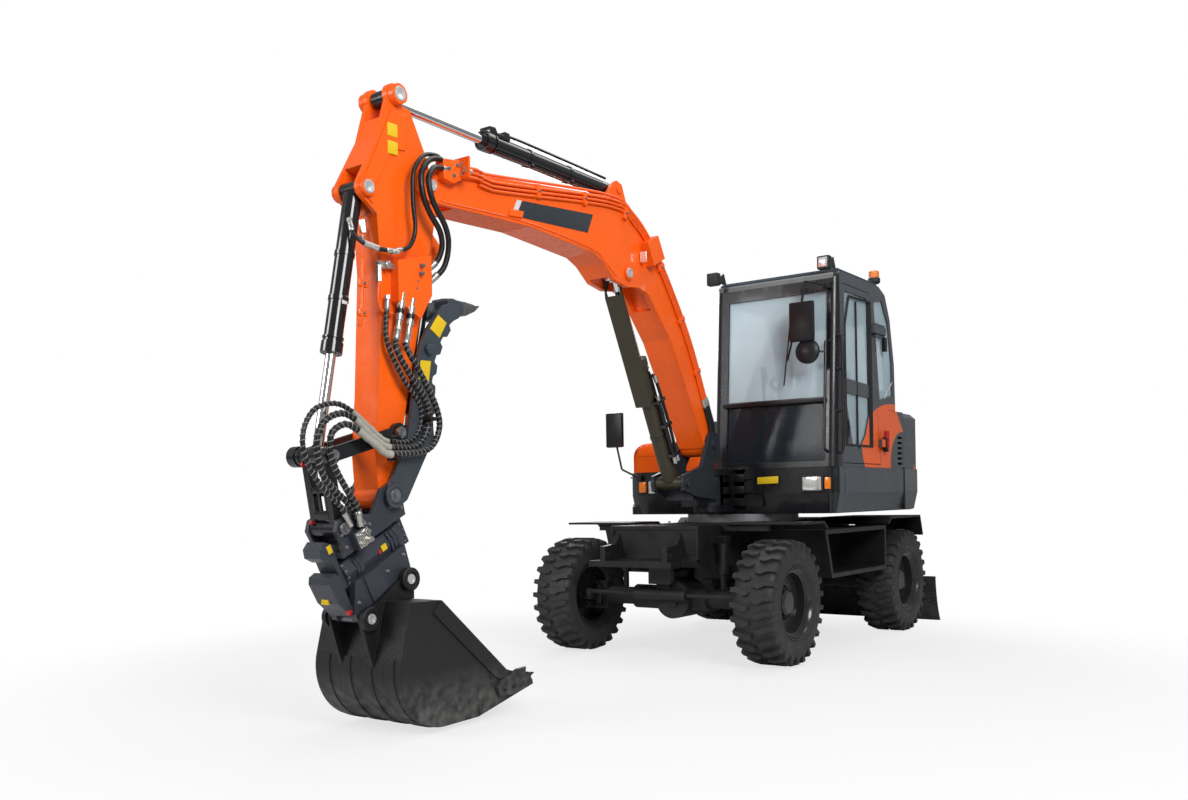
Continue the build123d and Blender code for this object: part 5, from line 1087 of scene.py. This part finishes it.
# bulkhead bolts with spacers at the bracket's face
spacers = fresh()
for y, z in ((-2.437, 2.296), (-2.443, 2.255)):
    plug(spacers, (0.142, y, z), (1, 0, 0), 0, 0.02, 0.01, 12, 0.0085)
    bolt(spacers, (0.163, y, z), (1, 0, 0), 0.01)
for y, z in ((-2.456, 2.215), (-2.464, 2.18)):
    plug(spacers, (0.1425, y, z), (1, 0, 0), 0, 0.001, 0.006, 12)
put("arm_bracket_bolts", spacers, plain_bolt, "arm")
WRAPPED = [  # name, radius, run on the arm, run over the linkage to the coupler
    ("left_a", 0.0145,
     [(0.132, -2.592, 1.955), (0.14, -2.612, 1.9), (0.16, -2.618, 1.84), (0.17, -2.54, 1.73),
      (0.166, -2.43, 1.6), (0.164, -2.435, 1.47), (0.163, -2.52, 1.39), (0.16, -2.69, 1.382)],
     [(0.158, -2.79, 1.43), (0.154, -2.893, 1.507), (0.15, -2.965, 1.53), (0.146, -3.05, 1.5),
      (0.142, -3.1, 1.43), (0.138, -3.1, 1.34), (0.134, -3.07, 1.25), (0.13, -3.0, 1.18),
      (0.128, -2.91, 1.11), (0.128, -2.84, 1.03)]),
    ("left_b", 0.0145,
     [(0.14, -2.532, 1.935), (0.15, -2.555, 1.89), (0.18, -2.56, 1.84), (0.194, -2.51, 1.76),
      (0.192, -2.4, 1.6), (0.19, -2.375, 1.48), (0.188, -2.46, 1.375), (0.18, -2.695, 1.348)],
     [(0.176, -2.79, 1.395), (0.17, -2.894, 1.457), (0.164, -2.96, 1.48), (0.158, -3.03, 1.44),
      (0.154, -3.04, 1.36), (0.15, -3.01, 1.28), (0.15, -2.945, 1.18), (0.152, -2.885, 1.1),
      (0.152, -2.87, 1.03)]),
    ("left_c", 0.0115,
     [(0.116, -2.64, 2.1), (0.122, -2.655, 2.0), (0.13, -2.655, 1.88), (0.14, -2.565, 1.72),
      (0.138, -2.455, 1.6), (0.136, -2.46, 1.48), (0.136, -2.54, 1.415), (0.138, -2.68, 1.412)],
     [(0.136, -2.79, 1.475), (0.134, -2.9, 1.548), (0.132, -2.99, 1.575), (0.13, -3.1, 1.545),
      (0.132, -3.165, 1.46), (0.134, -3.175, 1.36), (0.134, -3.13, 1.26), (0.134, -3.05, 1.17),
      (0.134, -2.965, 1.1), (0.134, -2.92, 1.03)]),
]
sleeve_cream = painted("sleeve_cream", (0.36, 0.35, 0.3), 0.6, grain=0.4, grain_size=260, round_edge=0.001)
wrap_grey = painted("wrap_grey", (0.2, 0.2, 0.19), 0.35, shade=0.3, round_edge=0.001)


def winding(path, radius, pitch):
    """Points of a spiral wound round a path."""
    along, first, second = axes_for(path[1] - path[0])
    wound, run = [], 0.0
    for k in range(len(path) - 1):
        heading = (path[k + 1] - path[k]).normalized()
        first = (first - heading * first.dot(heading)).normalized()
        second = heading.cross(first)
        length = (path[k + 1] - path[k]).length
        for part in range(3):
            angle = 2 * math.pi * (run + length * part / 3) / pitch
            wound.append(path[k].lerp(path[k + 1],
                part / 3) + (first * math.cos(angle) + second * math.sin(angle)) * radius)
        run += length
    return wound


steady, steady_end = fresh(), fresh()
for name, radius, on_arm, over in WRAPPED:
    down = smooth_path(on_arm, 0.0075)
    wrapped, spiral = fresh(), fresh()
    tube(wrapped, down, radius, 10)
    tube(spiral, winding(down, radius + 0.0005, 0.026), 0.0028, 4)
    put("hose_" + name, wrapped, hose_rubber, "arm")
    put("wrap_" + name, spiral, wrap_grey, "arm")
    ferrule(steady_end, down[0], down[1] - down[0], radius)
    path = smooth_path([on_arm[-2], on_arm[-1]] + over, 0.0075)
    path = path[next(k for k, point in enumerate(path) if (point - Vector(on_arm[-1])).length < 0.008):]
    crossing, spiral, sleeve = fresh(), fresh(), fresh()
    tube(crossing, path, radius, 10)
    cut = next(k for k, point in enumerate(path) if point.y < over[1][1])
    tube(sleeve, path[:cut], radius * 1.2, 12, lambda run: 1.0 + 0.1 * (1 if run % 0.052 < 0.018 else 0))
    tube(spiral, winding(path[cut:], radius + 0.0005, 0.026), 0.0028, 4)
    for title, shape, material, slot in (("over", crossing, hose_rubber, "black"),
            ("sleeve", sleeve, sleeve_cream, "grey"), ("over_wrap", spiral, wrap_grey, "grey")):
        piece = put("hose_" + name + "_" + title, shape, material, None)
        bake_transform(piece)
    far_end = fresh()
    ferrule(far_end, path[-1], path[-2] - path[-1], radius)
    put("hose_" + name + "_union", far_end, fitting_steel, "coupler")
put("hose_unions_arm", steady_end, fitting_steel, "arm")
for x_span, y_span, z_span, edge in [
        ((0.084, 0.206), (-2.447, -2.405), (1.52, 1.54), 0.004),
        ((0.128, 0.205), (-2.675, -2.65), (1.318, 1.332), 0.004),
        ((0.128, 0.205), (-2.675, -2.65), (1.428, 1.44), 0.004)]:
    brick(steady, x_span, y_span, z_span, edge)
put("hose_steadies", steady, house_black, "arm")

# ---- bucket linkage -------------------------------------------------------------------------
# Idlers and push link in gloss black with capped pins; the push link is closed by a web with
# oblong slots, and a wide pin with flanged ends crosses its top.
link_black = painted("link_black", (0.007, 0.008, 0.01), 0.24, coat=0.3, grain=0.15, round_edge=0.004)
coat_nodes(link_black, "idler_links", "push_link")
link_caps = fresh()
for out in (-1, 1):
    pin_cap(link_caps, *IDLER_PIVOT, out * 0.1255, 0.03, out)
    plug(link_caps, (out * 0.1, *LINK_TOP), (out, 0, 0), 0, 0.028, 0.026, 24, 0.023)
    pin_cap(link_caps, *LINK_TOP, out * 0.128, 0.024, out)
put("link_pin_caps", link_caps, turned_steel, "idler")
# the wide tube that joins the idlers on the far side
spacer = fresh()
turned(spacer, (-0.1105, *LINK_TOP), (-1, 0, 0), [(0, 0.05), (0.05, 0.05), (0.056, 0.044), (0.057, 0.026)],
    32)
put("idler_tube", spacer, link_black, "idler")
web = fresh()
up = Vector((LINK_TOP[0] - LINK_LOW[0], LINK_TOP[1] - LINK_LOW[1])).normalized()


def web_bar(low, high, x_low, x_high, thick=0.006):
    """A strip of the web between two distances up the push link."""
    edge = [(LINK_LOW[0] + up.x * s - up.y * t - up.y * 0.022,
        LINK_LOW[1] + up.y * s + up.x * t + up.x * 0.022) for s, t in ((low, -thick), (high, -thick),
        (high, thick), (low, thick))]
    slab(web, edge, x_low, x_high, 0.003)


for low, high in ((0.045, 0.09), (0.172, 0.2), (0.272, 0.3)):
    web_bar(low, high, -0.05, 0.05)
web_bar(0.085, 0.275, -0.05, -0.036)
web_bar(0.085, 0.275, 0.036, 0.05)
web_bar(0.085, 0.275, -0.008, 0.008)
put("push_link_web", web, link_black, "push_link")

# ---- tilting coupler ------------------------------------------------------------------------
# Cast head and foot in blue-black with a bolted rotary drive between them, hydraulic unions with
# red caps, and blank plates. Its axes run along the coupler and square below the arm's end pin.
coupler_paint = painted("coupler_paint", (0.036, 0.04, 0.053), 0.34, grain=0.35, grain_size=90, coat=0.15,
    round_edge=0.005)
coat_nodes(coupler_paint, "coupler_head", "coupler_foot")
ALONG, DOWN = Vector((-0.8944, -0.4472)), Vector((0.4472, -0.8944))


def at_coupler(u, w):
    """y and z of a point u along the coupler and w below the arm's end pin."""
    return (ARM_END[0] + ALONG.x * u + DOWN.x * w, ARM_END[1] + ALONG.y * u + DOWN.y * w)


head_bits, foot_bits, head_bolts, foot_bolts = fresh(), fresh(), fresh(), fresh()
for out in (-1, 1):
    pin_cap(head_bolts, *ARM_END, out * 0.14, 0.034, out)
    pin_cap(head_bolts, *LINK_LOW, out * 0.1205, 0.03, out)
    for u, w in ((0.03, 0.04), (0.19, 0.055), (0.36, 0.02), (0.36, 0.085), (-0.03, 0.08)):
        bolt(head_bolts, (out * 0.1105, *at_coupler(u, w)), (out, 0, 0), 0.011)
    for u, w in ((0.05, 0.3), (0.18, 0.32), (0.32, 0.31), (0.405, 0.36)):
        bolt(foot_bolts, (out * 0.094, *at_coupler(u, w)), (out, 0, 0), 0.011)
middle_axis = Vector((0, *at_coupler(0, 0.215)))
drive = Vector((0, ALONG.x, ALONG.y))
for distance in (0.03, 0.078, 0.3):
    turned(foot_bits, middle_axis + drive * distance, drive, [(0, 0.089), (0.003, 0.092), (0.012, 0.092),
        (0.015, 0.089)], 40)
first_side, second_side = axes_for(drive)[1:]
for angle in angles(14, 0.5):
    spot = middle_axis + (first_side * math.cos(angle) + second_side * math.sin(angle)) * 0.074
    bolt(foot_bolts, spot - drive * 0.014, -drive, 0.01)
    bolt(foot_bolts, spot + drive * 0.388, drive, 0.01)
put("coupler_rings", foot_bits, coupler_paint, "tool")
# valve block, unions and the blank plates on the head's left ear
slab(head_bits, [at_coupler(u, w) for u, w in ((0.245, 0.035), (0.325, 0.035), (0.325, 0.112),
    (0.245, 0.112))], 0.15, 0.162, 0.003)
put("coupler_block", head_bits, fitting_steel, "coupler")
unions, red_caps, foot_caps = fresh(), fresh(), fresh()
for u, w in ((0.262, 0.052), (0.262, 0.094), (0.308, 0.052), (0.308, 0.094)):
    turned(unions, (0.16, *at_coupler(u, w)), (1, 0, 0), [(0, 0.015), (0.014, 0.015), (0.016, 0.011),
        (0.026, 0.011)], 6)
put("coupler_unions", unions, fitting_steel, "coupler")
for s in (0.03, 0.305):
    plug(red_caps, (-0.066, LINK_LOW[0] + up.x * s - 0.036, LINK_LOW[1] + up.y * s), (0, -1, 0), -0.01, 0.008,
        0.01, 14, 0.007)
put("link_red_caps", red_caps, red_cover, "push_link")
plug(foot_caps, (0.08, *at_coupler(0.47, 0.375)), (1, 0, 0), -0.01, 0.01, 0.013, 16, 0.009)
plug(foot_caps, (0.082, *at_coupler(0.175, 0.215)), (1, 0, 0), -0.01, 0.008, 0.01, 16, 0.007)
put("foot_red_caps", foot_caps, red_cover, "tool")
foot_blanks, head_blanks = fresh(), fresh()
slab(foot_blanks, [at_coupler(u, w) for u, w in ((0.12, 0.195), (0.155, 0.195), (0.155, 0.225),
    (0.12, 0.225))], 0.078, 0.086, 0.0005)
brick(foot_blanks, (-0.035, 0.015), (at_coupler(0.505, 0.3)[0] - 0.002, at_coupler(0.505, 0.3)[0] + 0.008),
    (at_coupler(0.505, 0.3)[1] - 0.012, at_coupler(0.505, 0.3)[1] + 0.012), 0.0005)
put("foot_blank_plates", foot_blanks, plate_yellow, "tool")
slab(head_blanks, [at_coupler(u, w) for u, w in ((0.405, 0.045), (0.432, 0.045), (0.432, 0.085),
    (0.405, 0.085))], 0.0598, 0.0612, 0.0005)
put("head_blank_plate", head_blanks, plate_yellow, "coupler")
put("coupler_bolts", head_bolts, turned_steel, "coupler")
put("foot_bolts", foot_bolts, turned_steel, "tool")

# ---- bucket and thumb -----------------------------------------------------------------------
# Digging bucket in worn black with scuffed edges, bolted side cutters, adapters with pinned
# teeth; the thumb carries serrated cheeks, bare yellow plates and a middle tooth.
bucket_black = painted("bucket_black", (0.009, 0.009, 0.01), 0.46, grain=0.25, round_edge=0.005)
x, y, z = place_of(bucket_black)
worn = calc(bucket_black, "MINIMUM", calc(bucket_black, "MAXIMUM", calc(bucket_black, "MULTIPLY",
    calc(bucket_black, "SUBTRACT", 0.3, z), 5.0), 0.0), 1.0)
overlay(bucket_black, (0.17, 0.165, 0.155), calc(bucket_black, "MULTIPLY", worn,
    cloud(bucket_black, 22, 6, 0.0, 0.55)))
coat_nodes(bucket_black, "bucket")
thumb_black = painted("thumb_black", (0.04, 0.05, 0.062), 0.34, coat=0.2, grain=0.15, round_edge=0.004)
coat_nodes(thumb_black, "thumb")
# the thumb's two serrated cheeks and its cross tubes
serrated = [(-2.225, 2.035), (-2.295, 1.94), (-2.342, 1.835), (-2.362, 1.725), (-2.368, 1.62), (-2.362, 1.53)]
rear_edge = []
for (y0, z0), (y1, z1) in zip(serrated, serrated[1:]):
    step = Vector((y1 - y0, z1 - z0))
    square_out = Vector((-step.y, step.x)).normalized() * 0.026
    for share, out in ((0.0, 0), (0.1, 0), (0.18, 1), (0.58, 1), (0.72, 0)):
        rear_edge.append((y0 + step.x * share + square_out.x * out, z0 + step.y * share + square_out.y * out))
cheek = ([(-2.68, 1.13), (-2.66, 1.21), (-2.545, 1.4), (-2.51, 1.56), (-2.48, 1.74), (-2.454, 1.857),
    (-2.427, 1.924), (-2.38, 2.001), (-2.312, 2.082), (-2.269, 2.124), (-2.222, 2.14), (-2.152, 2.133),
    (-2.14, 2.1), (-2.154, 2.073), (-2.2, 2.05)] + rear_edge + [(-2.352, 1.44), (-2.43, 1.32), (-2.545, 1.13),
    (-2.6, 1.095), (-2.65, 1.098)])
cheeks = fresh()
for out in (-1, 1):
    low, high = sorted((out * 0.1145, out * 0.134))
    slab(cheeks, cheek, low, high, 0.003)
for y, z, radius in ((-2.389, 1.884, 0.024), (-2.215, 2.09, 0.028)):
    turned(cheeks, (-0.116, y, z), (1, 0, 0), [(0, radius), (0.232, radius)], 24)
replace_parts(put("thumb_cheeks", cheeks, thumb_black, "thumb"), "thumb")
thumb_plates = fresh()
slab(thumb_plates, [(-2.312, 2.069), (-2.251, 2.035), (-2.305, 1.952), (-2.372, 1.993)], 0.1345, 0.136,
    0.0006)
slab(thumb_plates, [(-2.44, 1.826), (-2.369, 1.828), (-2.387, 1.721), (-2.46, 1.73)], 0.1345, 0.136, 0.0006)
put("thumb_blank_plates", thumb_plates, plate_yellow, "thumb")
nose = fresh()
slab(nose, [(-2.185, 2.1), (-2.175, 2.185), (-2.1, 2.195), (-2.02, 2.182), (-2.02, 2.12), (-2.1, 2.095)],
    -0.045, 0.045, 0.01)
brick(nose, (-0.112, 0.112), (-2.215, -2.165), (2.085, 2.165), 0.012)
put("thumb_adapter", nose, thumb_black, "thumb")
point = fresh()
slab(point, [(-2.05, 2.108), (-2.05, 2.195), (-2.0, 2.192), (-1.93, 2.178), (-1.868, 2.19), (-1.915, 2.15),
    (-1.985, 2.118)], -0.03, 0.03, 0.008)
plug(point, (-0.052, -2.075, 2.148), (1, 0, 0), 0, 0.104, 0.012, 12)
put("thumb_tooth", point, turned_steel, "thumb")
thumb_pins = fresh()
for out in (-1, 1):
    plug(thumb_pins, (out * 0.134, -2.389, 1.884), (out, 0, 0), -0.002, 0.022, 0.026, 20, 0.022)
    turned(thumb_pins, (out * 0.134, -2.41, 1.48), (out, 0, 0), [(-0.002, 0.034), (0.016, 0.034),
        (0.018, 0.03), (0.018, 0.014), (0.012, 0.012)], 24)
    turned(thumb_pins, (out * 0.134, *ARM_END), (out, 0, 0), [(-0.002, 0.06), (0.01, 0.06), (0.012, 0.056),
        (0.012, 0.042), (0.008, 0.04)], 32)
put("thumb_bosses", thumb_pins, thumb_black, "thumb")
bucket_eyes, eye_caps = fresh(), fresh()
BUCKET_PINS = [(-2.54, 0.74), (-2.8, 0.57)]
for y, z in BUCKET_PINS:
    for out in (-1, 1):
        turned(bucket_eyes, (out * 0.12, y, z), (out, 0, 0), [(0, 0.058), (0.026, 0.058), (0.03, 0.053),
            (0.03, 0.034), (0.024, 0.032)], 32)
        pin_cap(eye_caps, y, z, out * 0.1415, 0.026, out)
put("bucket_eyes", bucket_eyes, bucket_black, "tool")
put("bucket_pin_caps", eye_caps, pin_silver, "tool")
# side cutters at the cheeks' front corners, bolted
cutters = fresh()
for out in (-1, 1):
    x_low, x_high = sorted((out * 0.306, out * 0.326))
    slab(cutters, [(-2.12, 0.16), (-2.085, 0.19), (-2.01, 0.205), (-1.96, 0.232), (-1.885, 0.236),
        (-1.9, 0.205), (-1.815, 0.196), (-1.905, 0.15), (-1.99, 0.105), (-2.1, 0.112)], x_low, x_high, 0.005)
    for y, z in ((-2.06, 0.145), (-1.99, 0.15)):
        bolt(cutters, (out * 0.326, y, z), (out, 0, 0), 0.014)
put("side_cutters", cutters, bucket_black, "tool")
blade_black = painted("blade_black", (0.012, 0.012, 0.013), 0.4, grain=0.2, round_edge=0.005)
overlay(blade_black, (0.22, 0.21, 0.2), calc(blade_black, "MULTIPLY",
    cloud(blade_black, 18, 7, 0.0, 1.0, (1, 4, 4)), 0.22))
coat_nodes(blade_black, "blade")
